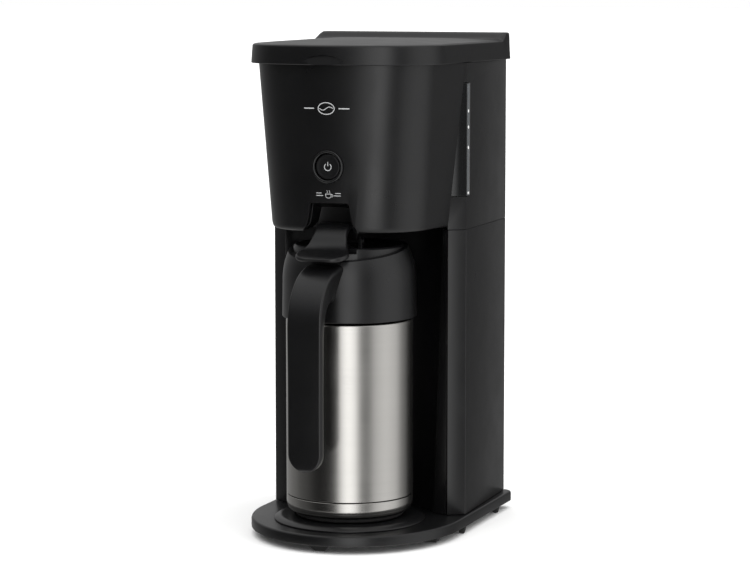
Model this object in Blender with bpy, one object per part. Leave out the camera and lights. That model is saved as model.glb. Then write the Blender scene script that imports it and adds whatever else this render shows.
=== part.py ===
"""Drip coffee maker with a vacuum jug, as an assembly of separate pieces.

Units are metres and +Z is up. Lengths across (X) are measured from the middle, lengths fore and aft (Y)
from the jug's axis with the front at -Y, and heights from the surface that the feet stand on. One empty
shifts the whole assembly, so that the origin is under the middle of its outer box.
"""

import math

import bmesh
import bpy
from mathutils import Matrix, Vector

# ---------------------------------------------------------------- driving dimensions

GAP = 0.0003                     # air between neighbouring pieces
ROUND = 48                       # sides of a large turned piece
SMALL_ROUND = 24                 # sides of a small turned piece
FINE_ROUND = 16                  # sides of pins, screws and bores
TOOL_OVERSIZE = 1.0002           # keeps a cutter's flank off the flank that it follows
OVAL_STEPS = 40                  # points round the filter basket

# Jug
JUG_RADIUS = 0.0468              # steel body
JUG_STEEL_HEIGHT = 0.1442        # steel body with its base cap
JUG_WALL = 0.0008
JUG_VACUUM = 0.0034              # space between the two steel walls
JUG_CAP_HEIGHT = 0.0126          # welded base cap, up to the groove
JUG_GROOVE = 0.0006
JUG_PAD_HEIGHT = 0.0029
JUG_NECK_RADIUS = 0.0320         # inside of the mouth
JUG_SHOULDER_HEIGHT = 0.020
JUG_NECK_HEIGHT = 0.022
COLLAR_PROUD = 0.0027            # collar outside the steel
COLLAR_HEIGHT = 0.0532
COLLAR_RIM_INSET = 0.0063        # how far the shoulder rounds in to the rim
COLLAR_RIM_WALL = 0.0018
COLLAR_SLOPE = math.radians(8.4)  # the rim drops towards the handle
COLLAR_RIM_DROP = 0.0024         # below the lid's top, over the jug's axis
JUG_LID_HEIGHT = 0.014           # part of the lid inside the collar's rim
PLUG_DEPTH = 0.019               # part of the lid inside the mouth
PLUG_RADIUS = 0.0302
DRIP_INLET_RADIUS = 0.005
PORT_Y = -0.024                  # pouring port under the thumb lever
PORT_RADIUS = 0.0045
POUR_STEM_RISE = 0.0100          # above the jug lid's top, under the thumb lever
HANDLE_REACH = 0.0866            # jug axis to the handle's outer face
HANDLE_WIDTH = 0.0258
HANDLE_THICKNESS = 0.0065
HANDLE_TIP_Z = 0.0625
HANDLE_ROOT_HEIGHT = 0.032
LEVER_PIVOT_Y = -0.014
LEVER_PIVOT_RISE = 0.0035        # above the jug lid's top
LEVER_HALF_WIDTH = 0.0130
LEVER_PAD_HALF_WIDTH = 0.0200
LEVER_SLOT_BACK_Y = -0.0325      # slot in the jug lid that the lever sinks into
LEVER_SLOT_DEPTH = 0.0038
PIN_RADIUS = 0.0012

# Base
FOOT_HEIGHT = 0.0055
BASE_MARGIN = 0.0327             # base edge outside the jug's steel
BASE_CENTRE_Y = 0.019            # middle of the oval front
BASE_NOSE = 0.087                # from there to the front
BASE_BACK_Y = 0.146
BASE_REAR_RADIUS = 0.007
BASE_TRAY_HEIGHT = 0.0077
BASE_WALL = 0.0022
BASE_CHAMFER = 0.0012
BASE_PLATE_THICKNESS = 0.002
BASE_SCREW_INSET = 0.016         # base screws and wide feet inside the base's edge
BASE_SCREW_Y = (0.040, BASE_BACK_Y - 0.020)
FRONT_FOOT_INSET = 0.0125
WIDE_FOOT_Y = 0.0016
PEG_FOOT_INSET = (0.0042, 0.0052)
PEG_FOOT_Y = (0.0375, 0.118)
REST_MARGIN = 0.0092             # jug rest outside the jug's steel, at its foot
REST_HEIGHT = 0.0032
REST_SLOPE = 0.004

# Column and upper housing
COLUMN_LEDGE = 0.0023            # base edge outside the column's front corner
COLUMN_CORNER_Y = 0.0394
FACET_WIDTH = 0.0141
FACET_ANGLE = math.radians(31.0)
SIDE_TAPER = math.radians(2.2)   # the sides close in towards the back
CASE_BACK_Y = 0.1445
CASE_WALL = 0.0025
CASE_CORNER_RADIUS = 0.004
CASE_RETURN = 0.008              # side panel wrapped round the back
BAY_CLEARANCE = 0.0114           # jug lid's top to the head
BAY_BOTTOM_ROOM = 0.0172         # steel to the concave panel, at the base
BAY_TOP_ROOM = 0.0232            # and at the head
PANEL_EDGE_Y = 0.036
PANEL_WALL = 0.002
GLAND_RADIUS = 0.0062
GLAND_BORE = 0.0034
GLAND_RISE = 0.018               # above the foot of the rear cover
HEAD_STEP = 0.0023               # head's lower edge above the housing seam
HOUSING_HEIGHT = 0.1224

# Head front shell
HEAD_FRONT_TOP_Y = -0.0462
HEAD_FRONT_BOTTOM_Y = -0.0385
HEAD_NOSE_RADIUS = 0.124
HEAD_CORNER_RADIUS = 0.046
HEAD_FLARE_TOP = math.radians(10.5)
HEAD_FLARE_BOTTOM = math.radians(9.0)
HEAD_SEAM_TOP = 0.0012           # facet left showing at the top of the head
HEAD_EDGE_ROUND = 0.0045
FLOOR_THICKNESS = 0.002

# Lever notch in the head
NOTCH_HEIGHT = 0.0215
NOTCH_TOP_HALF = 0.015
NOTCH_BOTTOM_HALF = 0.022
NOTCH_BACK_Y = -0.0165
NOTCH_CEILING_DROP = 0.005
LINER_WALL = 0.0015

# Power button
BUTTON_RISE = 0.0477             # above the head's lower edge
BEZEL_RADIUS = 0.012
BEZEL_DEPTH = 0.006
CAP_RADIUS = 0.00925
BUTTON_TRAVEL = 0.002
CAP_DEPTH = 0.005
SWITCH_DEPTH = 0.0055

# Lid
LID_RIM_HEIGHT = 0.014
LID_CROWN = 0.0032
LID_RIDGE_RISE = 0.0062
LID_RIDGE_DEPTH = 0.018
LID_FRONT_Y = -0.0504
LID_BACK_Y = 0.1374
LID_HALF_WIDTH = 0.0795
LID_NOSE_RADIUS = 0.130
LID_CORNER_RADIUS = 0.050
LID_FLARE = math.radians(2.0)
LID_WALL = 0.0025
SCOOP_WIDTH = 0.040
SCOOP_HEIGHT = 0.007
SCOOP_DEPTH = 0.0017
KNUCKLE_RADIUS = 0.0029
KNUCKLE_X = 0.040
KNUCKLE_WIDTH = 0.008
LUG_WIDTH = 0.0044
HINGE_PIN_RADIUS = 0.0014
HINGE_AXIS_BACK = 0.0032         # behind the lid's rear wall
HINGE_AXIS_RISE = 0.0033         # above the housing's top

# Gauge
GAUGE_BOTTOM_RISE = 0.0248       # above the seam
GAUGE_HEIGHT = 0.0835
GAUGE_SIDE_WIDTH = 0.008
GAUGE_WALL = 0.0018

# Water path
TANK_LEFT_X = -0.048
TANK_FRONT_Y = 0.046
TANK_BACK_Y = 0.112
TANK_WALL = 0.002
TANK_FLOOR_RISE = 0.0128         # above the seam
TANK_TOP_DROP = 0.005            # below the housing's top
OUTLET_X = 0.040
OUTLET_Y = 0.095
HEATER_HALF_WIDTH = 0.036
HEATER_FRONT_Y = 0.084
HEATER_DEPTH = 0.040
HEATER_HEIGHT = 0.026
HEATER_RISE = 0.010              # above the base tray
HOSE_RADIUS = 0.003
HOSE_END_GAP = 0.001
RISER_X = -0.060
RISER_Y = 0.062

# Filter basket and its drip stop
BASKET_HALF_WIDTH = 0.056
BASKET_HALF_DEPTH = 0.0395
BASKET_FOOT_HALF_WIDTH = 0.029
BASKET_FOOT_HALF_DEPTH = 0.016
BASKET_WALL = 0.0018
BASKET_FLOOR_RISE = 0.0252       # above the head's lower edge
BASKET_TOP_DROP = 0.006
NOZZLE_RADIUS = 0.009
NOZZLE_BORE = 0.0055
NOZZLE_DROP = 0.0035             # below the head's lower edge
VALVE_RADIUS = 0.008
VALVE_STEM_RADIUS = 0.0022
VALVE_TIP_CLEARANCE = 0.0020     # above the jug's lid
CAGE_RADIUS = 0.011
CAGE_HEIGHT = 0.013

# ---------------------------------------------------------------- worked-out places

BASE_HALF = JUG_RADIUS + BASE_MARGIN
BASE_Z = FOOT_HEIGHT + GAP
BASE_TOP_Z = BASE_Z + BASE_TRAY_HEIGHT
REST_TOP_Z = BASE_TOP_Z + GAP + REST_HEIGHT
JUG_PAD_Z = REST_TOP_Z + GAP
JUG_Z = JUG_PAD_Z + JUG_PAD_HEIGHT + GAP
STEEL_TOP_Z = JUG_Z + JUG_STEEL_HEIGHT
COLLAR_Z = STEEL_TOP_Z + 2 * GAP
JUG_LID_TOP_Z = COLLAR_Z + COLLAR_HEIGHT
LIP_Z = STEEL_TOP_Z + JUG_SHOULDER_HEIGHT + JUG_NECK_HEIGHT - 0.003
HEAD_Z = JUG_LID_TOP_Z + BAY_CLEARANCE
SEAM_Z = HEAD_Z - HEAD_STEP
CASE_TOP_Z = SEAM_Z + GAP + HOUSING_HEIGHT
LID_Z = CASE_TOP_Z + GAP
LID_RIM_TOP_Z = LID_Z + LID_RIM_HEIGHT
CORNER = Vector((BASE_HALF - COLUMN_LEDGE, COLUMN_CORNER_Y))
FACET_RUN = Vector((math.cos(FACET_ANGLE), math.sin(FACET_ANGLE)))
FACET_IN = Vector((-FACET_RUN.y, FACET_RUN.x))
FACET_END = CORNER - FACET_WIDTH * FACET_RUN
HINGE_Y = LID_BACK_Y + HINGE_AXIS_BACK
HINGE_Z = CASE_TOP_Z + HINGE_AXIS_RISE
BUTTON_Z = HEAD_Z + BUTTON_RISE
NOTCH_TOP_Z = HEAD_Z + NOTCH_HEIGHT
BASKET_Z = HEAD_Z + BASKET_FLOOR_RISE
BASKET_TOP_Z = CASE_TOP_Z - BASKET_TOP_DROP
TANK_Z = SEAM_Z + TANK_FLOOR_RISE
TANK_TOP_Z = CASE_TOP_Z - TANK_TOP_DROP
HEATER_Z = BASE_TOP_Z + HEATER_RISE
HEATER_TOP_Z = HEATER_Z + HEATER_HEIGHT
SPOUT_Z = CASE_TOP_Z - 0.0008
LEVER_Z = JUG_LID_TOP_Z + LEVER_PIVOT_RISE
VALVE_TIP_Z = JUG_LID_TOP_Z + VALVE_TIP_CLEARANCE
ROW_Y = (HANDLE_REACH - BASE_BACK_Y) / 2

FINISHES = {
    "black_abs": ((0.028, 0.028, 0.029), 0.42, 0.0),
    "gloss_black": ((0.016, 0.016, 0.017), 0.22, 0.0),
    "brushed_steel": ((0.56, 0.55, 0.53), 0.30, 1.0),
    "clear_smoke": ((0.10, 0.10, 0.11), 0.12, 0.0),
    "clear_tank": ((0.62, 0.64, 0.66), 0.20, 0.0),
    "rubber": ((0.020, 0.020, 0.020), 0.80, 0.0),
    "silicone": ((0.70, 0.70, 0.68), 0.55, 0.0),
    "aluminium": ((0.60, 0.60, 0.61), 0.38, 1.0),
    "zinc_steel": ((0.50, 0.50, 0.50), 0.35, 1.0),
    "phenolic": ((0.05, 0.045, 0.04), 0.60, 0.0),
}


# ---------------------------------------------------------------- modelling helpers

def material(finish):
    """Return the Principled material of a finish, made on first use."""
    if finish in bpy.data.materials:
        return bpy.data.materials[finish]
    colour, roughness, metallic = FINISHES[finish]
    made = bpy.data.materials.new(finish)
    made.use_nodes = True
    shader = made.node_tree.nodes["Principled BSDF"]
    shader.inputs["Base Color"].default_value = (*colour, 1.0)
    shader.inputs["Roughness"].default_value = roughness
    shader.inputs["Metallic"].default_value = metallic
    return made


def adopt(piece, finish, pivot):
    """Link an object under the machine's empty, with its origin at pivot and its own material."""
    piece.location = pivot
    piece.parent = MACHINE
    bpy.context.collection.objects.link(piece)
    piece.data.materials.append(material(finish))
    return piece


def solid(name, bm, finish="black_abs", pivot=(0.0, 0.0, 0.0)):
    """Turn a bmesh into a named piece with its faces pointing out."""
    bmesh.ops.recalc_face_normals(bm, faces=bm.faces)
    bmesh.ops.translate(bm, verts=bm.verts, vec=-Vector(pivot))
    mesh = bpy.data.meshes.new(name)
    bm.to_mesh(mesh)
    bm.free()
    mesh.shade_smooth()
    mesh.set_sharp_from_angle(angle=math.radians(30))
    return adopt(bpy.data.objects.new(name, mesh), finish, pivot)


def combine(piece, tool, operation="DIFFERENCE"):
    """Cut a piece with a tool, or join the tool to it, and hide the tool."""
    tool.hide_render = True
    tool.display_type = "WIRE"
    modifier = piece.modifiers.new(tool.name, "BOOLEAN")
    modifier.operation = operation
    modifier.solver = "EXACT"
    modifier.object = tool


def skin(rings, closed=False):
    """Skin rings of points, capping both ends unless the last ring joins the first."""
    bm = bmesh.new()
    loops = [[bm.verts.new(point) for point in ring] for ring in rings]
    pairs = list(zip(loops, loops[1:]))
    if closed:
        pairs.append((loops[-1], loops[0]))
    else:
        bm.faces.new(loops[0][::-1])
        bm.faces.new(loops[-1])
    for lower, upper in pairs:
        for i in range(len(lower)):
            j = (i + 1) % len(lower)
            bm.faces.new((lower[i], lower[j], upper[j], upper[i]))
    return bm


def turned(profile, centre=(0.0, 0.0), sides=ROUND):
    """Turn (radius, height) points about Z; the profile ends on the axis or joins its own start."""
    bm = bmesh.new()
    rings = []
    for radius, height in profile:
        count = sides if radius > 0 else 1
        ring = []
        for i in range(count):
            a = 2 * math.pi * i / sides
            place = (centre[0] + radius * math.cos(a), centre[1] + radius * math.sin(a), height)
            ring.append(bm.verts.new(place))
        rings.append(ring)
    pairs = list(zip(rings, rings[1:]))
    if profile[0][0] > 0:
        pairs.append((rings[-1], rings[0]))
    for lower, upper in pairs:
        for i in range(sides):
            j = (i + 1) % sides
            corners = (lower[i % len(lower)], lower[j % len(lower)],
                       upper[j % len(upper)], upper[i % len(upper)])
            if len(set(corners)) > 2:
                bm.faces.new(dict.fromkeys(corners))
    return bm


def turned_forward(profile, y, z, sides=SMALL_ROUND):
    """Turn (radius, depth) points about a fore-and-aft axis; depth grows towards the back."""
    bm = turned(profile, sides=sides)
    turn = Matrix.Translation((0, y, z)) @ Matrix.Rotation(math.pi / 2, 4, "X")
    bmesh.ops.transform(bm, verts=bm.verts, matrix=turn)
    bmesh.ops.scale(bm, verts=bm.verts, vec=(1, -1, 1), space=Matrix.Translation((0, -y, 0)))
    return bm


def rod(radius, x0, x1, y, z, sides=FINE_ROUND):
    """A round bar across the machine."""
    rings = []
    for x in (x0, x1):
        rings.append([(x, p.x, p.y) for p in arc((y, z), radius, 0, 2 * math.pi, sides)[:-1]])
    return skin(rings)


def box_plan(x0, x1, y0, y1):
    """Corners of a rectangle in plan."""
    return [(x0, y0), (x1, y0), (x1, y1), (x0, y1)]


def block(x0, x1, y0, y1, z0, z1):
    """A plain block between two corners."""
    plan = box_plan(x0, x1, y0, y1)
    return skin([level(plan, z0), level(plan, z1)])


def tablet(x0, x1, y0, y1, z0, z1, edge):
    """A block with every edge rounded but those round its underside."""
    bm = block(x0, x1, y0, y1, z0, z1)
    rounded = [e for e in bm.edges if max(v.co.z for v in e.verts) > z1 - edge]
    bmesh.ops.bevel(bm, geom=rounded, offset=edge, segments=2, profile=0.5, affect="EDGES")
    return bm


def level(plan, z):
    """Lift plan points to a height."""
    return [(x, y, z) for x, y in plan]


def arc(centre, radius, start, end, steps):
    """Points on an arc from start to end, both included, with angles in radians."""
    angles = [start + (end - start) * i / steps for i in range(steps + 1)]
    return [Vector((centre[0] + radius * math.cos(a), centre[1] + radius * math.sin(a))) for a in angles]


def bezier(p0, p1, p2, p3, steps):
    """Points along a cubic curve, both ends included."""
    p0, p1, p2, p3 = Vector(p0), Vector(p1), Vector(p2), Vector(p3)
    points = []
    for i in range(steps + 1):
        t = i / steps
        s = 1 - t
        points.append(s**3 * p0 + 3 * s * s * t * p1 + 3 * s * t * t * p2 + t**3 * p3)
    return points


def offset(path, distance, closed=False):
    """Move a plan path sideways to its left by a distance, with mitred corners."""
    moved = []
    count = len(path)
    for i in range(count):
        runs = []
        if closed or i > 0:
            runs.append((path[i] - path[i - 1]).normalized())
        if closed or i < count - 1:
            runs.append((path[(i + 1) % count] - path[i]).normalized())
        normals = [Vector((-run.y, run.x)) for run in runs]
        mitre = sum(normals, Vector((0.0, 0.0))).normalized()
        moved.append(path[i] + mitre * distance / max(mitre.dot(normals[0]), 0.2))
    return moved


def mirrored(half):
    """Complete a plan path that starts at the right and ends on the middle line."""
    return half + [Vector((-p.x, p.y)) for p in reversed(half[:-1])]


def bow_half(end, front_y, nose_radius, corner_radius, flare):
    """Right half of a bowed front: a straight flank, a corner arc and a large nose arc.

    The flank leaves end towards the front and closes in by flare; the corner arc is tangent to it and
    to the nose arc, whose middle is at front_y.
    """
    along = Vector((math.sin(flare), math.cos(flare)))
    outward = Vector((along.y, -along.x))
    nose = Vector((0.0, front_y + nose_radius))
    start = Vector(end) - corner_radius * outward - nose
    b = start.dot(along)
    reach = -b - math.sqrt(b * b - start.length_squared + (nose_radius - corner_radius) ** 2)
    centre = nose + start + reach * along
    join = (centre - nose).normalized()
    flank = math.atan2(outward.y, outward.x)
    tangent = math.atan2(join.y, join.x)
    return ([Vector(end)] + arc(centre, corner_radius, flank, tangent, 8)
            + arc(nose, nose_radius, tangent, -math.pi / 2, 6)[1:])


def strip(path, inner):
    """Close an open path and the path inside it into one outline."""
    return list(path) + list(reversed(inner))


def side_x(y):
    """Outer half width of the case at a place along its tapered side."""
    return CORNER.x - (y - CORNER.y) * math.tan(SIDE_TAPER)


def smooth_route(points, steps=6):
    """Sample a smooth curve through a hose's points."""
    ends = [2 * points[0] - points[1]] + points + [2 * points[-1] - points[-2]]
    route = []
    for p0, p1, p2, p3 in zip(ends, ends[1:], ends[2:], ends[3:]):
        for i in range(steps):
            t = i / steps
            route.append(0.5 * (2 * p1 + (p2 - p0) * t + (2 * p0 - 5 * p1 + 4 * p2 - p3) * t * t
                                + (3 * p1 - p0 - 3 * p2 + p3) * t**3))
    return route + [points[-1]]


def tube(name, points, radius, finish, sides=2, pivot=(0.0, 0.0, 0.0)):
    """A round bar of one radius along points."""
    curve = bpy.data.curves.new(name, "CURVE")
    curve.dimensions = "3D"
    curve.bevel_depth = radius
    curve.bevel_resolution = sides
    curve.use_fill_caps = True
    spline = curve.splines.new("POLY")
    spline.points.add(len(points) - 1)
    for node, point in zip(spline.points, points):
        node.co = (*(Vector(point) - Vector(pivot)), 1.0)
    return adopt(bpy.data.objects.new(name, curve), finish, pivot)


def coil(radius, start, end, turns, axis):
    """Points of a helix about an axis direction, from start to end."""
    start, end, axis = Vector(start), Vector(end), Vector(axis)
    side = axis.orthogonal().normalized()
    across = axis.cross(side)
    steps = 12 * turns
    return [start.lerp(end, i / steps) + radius * (side * math.cos(2 * math.pi * i / 12)
                                                   + across * math.sin(2 * math.pi * i / 12))
            for i in range(steps + 1)]


# ---------------------------------------------------------------- base

def base_plan(inset=0.0):
    """Outline of the base: an oval front, straight sides and small rear corners."""
    corner = BASE_REAR_RADIUS - inset
    back = Vector((BASE_HALF - BASE_REAR_RADIUS, BASE_BACK_Y - BASE_REAR_RADIUS))
    nose = [Vector(((BASE_HALF - inset) * p.x, BASE_CENTRE_Y + (BASE_NOSE - inset) * p.y))
            for p in arc((0, 0), 1.0, 0, -math.pi / 2, 18)]
    return mirrored(arc(back, corner, math.pi / 2, 0, 4) + nose)


def build_base():
    """Base tray, closing plate, feet, screws and the raised rest for the jug."""
    ceiling = BASE_TOP_Z - BASE_WALL
    solid("base_tray", skin([
        level(base_plan(BASE_WALL), ceiling), level(base_plan(BASE_WALL), BASE_Z),
        level(base_plan(), BASE_Z), level(base_plan(), BASE_TOP_Z - BASE_CHAMFER),
        level(base_plan(BASE_CHAMFER), BASE_TOP_Z)]))
    plate_plan = base_plan(BASE_WALL + GAP)
    plate = solid("base_plate", skin([
        level(plate_plan, BASE_Z), level(plate_plan, BASE_Z + BASE_PLATE_THICKNESS)]))
    for side, tag in ((1, "right"), (-1, "left")):
        screw_x = side * (BASE_HALF - BASE_SCREW_INSET)
        for place, screw_y, inset, foot_y in zip(("front", "rear"), BASE_SCREW_Y, PEG_FOOT_INSET, PEG_FOOT_Y):
            build_base_screw(f"base_screw_{place}_{tag}", screw_x, screw_y, plate)
            build_foot(f"{place}_peg_foot_{tag}", side * (BASE_HALF - inset), foot_y, 0.0026, 0.0018)
        build_foot(f"wide_foot_{tag}", screw_x, WIDE_FOOT_Y, 0.0075, 0.0050)
    build_foot("front_foot", 0.0, BASE_CENTRE_Y - BASE_NOSE + FRONT_FOOT_INSET, 0.0080, 0.0042)
    foot = JUG_RADIUS + REST_MARGIN
    solid("jug_rest", turned([
        (0, BASE_TOP_Z + GAP), (foot, BASE_TOP_Z + GAP), (foot, BASE_TOP_Z + GAP + 0.0008),
        (foot - REST_SLOPE, REST_TOP_Z), (0, REST_TOP_Z)]))


def build_foot(name, x, y, top_half, bottom_half):
    """A short rubber foot that tapers down, under the base plate."""
    depth = min(0.005, top_half)
    rings = []
    for half, deep, z in ((bottom_half, 0.6 * depth, 0.0), (top_half, depth, FOOT_HEIGHT - 0.0008),
                          (top_half, depth, FOOT_HEIGHT)):
        rings.append(level(box_plan(x - half, x + half, y - deep, y + deep), z))
    solid(name, skin(rings), "rubber")


def build_base_screw(name, x, y, plate):
    """A pan-head screw up through the base plate, and its hole."""
    head_z = BASE_Z - GAP - 0.0017
    solid(name, turned([
        (0, head_z), (0.0022, head_z), (0.0029, head_z + 0.0007), (0.0029, BASE_Z - GAP),
        (0.0013, BASE_Z - GAP), (0.0013, BASE_Z + 0.0046), (0, BASE_Z + 0.0046)],
        (x, y), FINE_ROUND), "zinc_steel")
    combine(plate, solid(f"hole_{name}", turned([
        (0, BASE_Z - 0.002), (0.0017, BASE_Z - 0.002), (0.0017, BASE_Z + 0.004), (0, BASE_Z + 0.004)],
        (x, y), FINE_ROUND)))


# ---------------------------------------------------------------- column

def case_side_path():
    """Right side of the case in plan: facet, tapered side, rear corner and the return behind."""
    rear = Vector((side_x(CASE_BACK_Y) - CASE_CORNER_RADIUS, CASE_BACK_Y - CASE_CORNER_RADIUS))
    return [FACET_END, CORNER] + arc(rear, CASE_CORNER_RADIUS, 0, math.pi / 2, 4)


def build_column():
    """Two side panels, the concave front panel, the rear cover and the cord's gland."""
    low, high = BASE_TOP_Z + GAP, SEAM_Z
    outer = case_side_path()
    return_x = outer[-1].x - CASE_RETURN
    outer = outer + [Vector((return_x, CASE_BACK_Y))]
    plan = strip(outer, offset(outer, CASE_WALL))
    for side, tag in ((1, "right"), (-1, "left")):
        ring = [(side * p.x, p.y) for p in plan]
        solid(f"side_panel_{tag}", skin([level(ring, low), level(ring, high)]))

    solid("column_front_panel", skin([level(front_panel_plan(BAY_BOTTOM_ROOM), low),
                                      level(front_panel_plan(BAY_TOP_ROOM), high)]))

    cover_half = return_x - GAP
    cover = solid("rear_cover", block(-cover_half, cover_half, CASE_BACK_Y - CASE_WALL, CASE_BACK_Y,
                                      low, high))
    gland_z = low + GLAND_RISE
    gland_front = CASE_BACK_Y - CASE_WALL - 0.002
    gland_depth = BASE_BACK_Y - GAP - gland_front
    gland = [(GLAND_BORE, -0.001), (GLAND_RADIUS - 0.001, -0.001), (GLAND_RADIUS, 0.0002),
             (GLAND_RADIUS, gland_depth), (GLAND_BORE, gland_depth)]
    solid("cord_gland", turned_forward(gland, gland_front, gland_z), "rubber")
    hole = GLAND_RADIUS + GAP
    combine(cover, solid("hole_cord_gland", turned_forward(
        [(0, -0.004), (hole, -0.004), (hole, 0.012), (0, 0.012)], gland_front, gland_z)))


def front_panel_plan(room):
    """Plan of the panel behind the jug: two flat edges and an arc round the jug's axis."""
    radius = JUG_RADIUS + room
    edge_x = min(math.sqrt(radius**2 - PANEL_EDGE_Y**2), FACET_END.x - 2 * PANEL_WALL)
    edge = Vector((edge_x, math.sqrt(radius**2 - edge_x**2)))
    start = FACET_END - 1.4 * GAP * FACET_RUN
    sweep = math.atan2(edge.y, edge.x)
    path = [start] + arc((0, 0), radius, sweep, math.pi - sweep, 20) + [Vector((-start.x, start.y))]
    behind = offset(path, -PANEL_WALL)
    behind[0] = start + PANEL_WALL * FACET_IN
    behind[-1] = Vector((-behind[0].x, behind[0].y))
    return strip(path, behind)


# ---------------------------------------------------------------- upper housing and gauge

def build_housing():
    """Upper rear housing with its hinge lugs and gauge slot, the gauge window and the hinge pins."""
    right = case_side_path()
    path = right + [Vector((-p.x, p.y)) for p in reversed(right)]
    plan = strip(path, offset(path, CASE_WALL))
    housing = solid("head_rear_shell", skin([level(plan, SEAM_Z + GAP), level(plan, CASE_TOP_Z)]))
    for side, tag in ((1, "right"), (-1, "left")):
        for step in (-1, 1):
            middle = side * KNUCKLE_X + step * (KNUCKLE_WIDTH / 2 + GAP + LUG_WIDTH / 2)
            build_housing_lug(housing, f"lug_{tag}_{step + 1}", middle)
        bore = solid(f"hole_hinge_{tag}", rod(HINGE_PIN_RADIUS + GAP, side * KNUCKLE_X - 0.012,
                                              side * KNUCKLE_X + 0.012, HINGE_Y, HINGE_Z))
        combine(housing, bore)
        reach = KNUCKLE_WIDTH / 2 + GAP + LUG_WIDTH
        solid(f"hinge_pin_{tag}", rod(HINGE_PIN_RADIUS, side * KNUCKLE_X - reach, side * KNUCKLE_X + reach,
                                      HINGE_Y, HINGE_Z), "zinc_steel")
    build_gauge(housing)


def build_housing_lug(housing, name, middle):
    """One hinge lug on the housing's rear wall."""
    y0, y1 = HINGE_Y - KNUCKLE_RADIUS, HINGE_Y + KNUCKLE_RADIUS
    root_z = CASE_TOP_Z - 0.006
    profile = [(y1, root_z), (y0 + 0.0012, root_z)] + [
        (p.x, p.y) for p in arc((HINGE_Y, HINGE_Z), KNUCKLE_RADIUS, math.pi, 0, 8)]
    x0, x1 = middle - LUG_WIDTH / 2, middle + LUG_WIDTH / 2
    y1 = min(y1, CASE_BACK_Y)
    lug = skin([[(x, min(y, y1), z) for y, z in profile] for x in (x0, x1)])
    combine(housing, solid(name, lug), "UNION")


def build_gauge(housing):
    """Smoked window round the right front corner, in a slot of the housing."""
    low = SEAM_Z + GAUGE_BOTTOM_RISE
    high = low + GAUGE_HEIGHT
    side_run = Vector((-math.tan(SIDE_TAPER), 1.0)).normalized()
    start = FACET_END + 0.0018 * FACET_RUN
    path = [start, CORNER, CORNER + GAUGE_SIDE_WIDTH * side_run]
    plan = strip(path, offset(path, GAUGE_WALL))
    solid("gauge_window", skin([level(plan, low), level(plan, high)]), "clear_smoke")
    wide = [path[0] - GAP * FACET_RUN, path[1], path[2] + GAP * side_run]
    slot = strip(offset(wide, -0.004), offset(wide, 0.006))
    combine(housing, solid("slot_gauge", skin([level(slot, low - GAP), level(slot, high + GAP)])))


# ---------------------------------------------------------------- head

def head_path(rise, inset=0.0):
    """Plan path of the head's front shell at a share of its height, from right to left.

    Both ends stop just short of the seam with the housing, and slide inwards along it when inset.
    """
    facet_left = FACET_WIDTH + rise * (HEAD_SEAM_TOP - FACET_WIDTH)
    end = CORNER - facet_left * FACET_RUN - 1.4 * GAP * FACET_IN
    front_y = HEAD_FRONT_BOTTOM_Y + rise * (HEAD_FRONT_TOP_Y - HEAD_FRONT_BOTTOM_Y)
    flare = HEAD_FLARE_BOTTOM + rise * (HEAD_FLARE_TOP - HEAD_FLARE_BOTTOM)
    path = mirrored(bow_half(end, front_y, HEAD_NOSE_RADIUS, HEAD_CORNER_RADIUS, flare))
    if inset:
        moved = offset(path, -inset)
        moved[0] = end - inset * FACET_RUN
        moved[-1] = Vector((-moved[0].x, moved[0].y))
        return moved
    return path


def head_plan(rise, inset):
    """Outline of the shell's wall, with its outer face drawn in by inset."""
    return strip(head_path(rise, inset), head_path(rise, max(CASE_WALL, inset + 0.0012)))


def head_front_y(z):
    """Front of the head's shell on the middle line."""
    rise = (z - HEAD_Z) / (CASE_TOP_Z - HEAD_Z)
    return HEAD_FRONT_BOTTOM_Y + rise * (HEAD_FRONT_TOP_Y - HEAD_FRONT_BOTTOM_Y)


def notch_outline(grow, floor_z):
    """The lever notch seen from the front: narrow at the top and wider below."""
    top = NOTCH_TOP_Z + grow
    waist = NOTCH_TOP_HALF + 0.0018 + grow
    foot = NOTCH_BOTTOM_HALF + grow
    half = [(NOTCH_TOP_HALF + grow, top), (waist, HEAD_Z + 0.009), (waist + 0.0012, HEAD_Z + 0.005),
            (foot, HEAD_Z + 0.0014), (foot, floor_z)]
    return half + [(-x, z) for x, z in reversed(half)]


def build_head():
    """Front shell, floor, lever recess, and the power button with its switch."""
    height = CASE_TOP_Z - HEAD_Z
    rings = []
    for share in (0.0, 0.35, 1.0):
        z = HEAD_Z + HEAD_EDGE_ROUND * share
        inset = HEAD_EDGE_ROUND * (1 - math.sin(math.acos(1 - share)))
        rings.append(level(head_plan((z - HEAD_Z) / height, 0.45 * inset), z))
    rings.append(level(head_plan(1.0, 0.0), CASE_TOP_Z))
    shell = solid("head_front_shell", skin(rings))
    below = HEAD_Z - 0.006
    notch = skin([[(x, y, z) for x, z in notch_outline(0.0, below)]
                  for y in (HEAD_FRONT_TOP_Y - 0.01, -0.026)])
    combine(shell, solid("slot_lever", notch))
    build_head_floor()
    build_lever_recess()
    build_button(shell)


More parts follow.
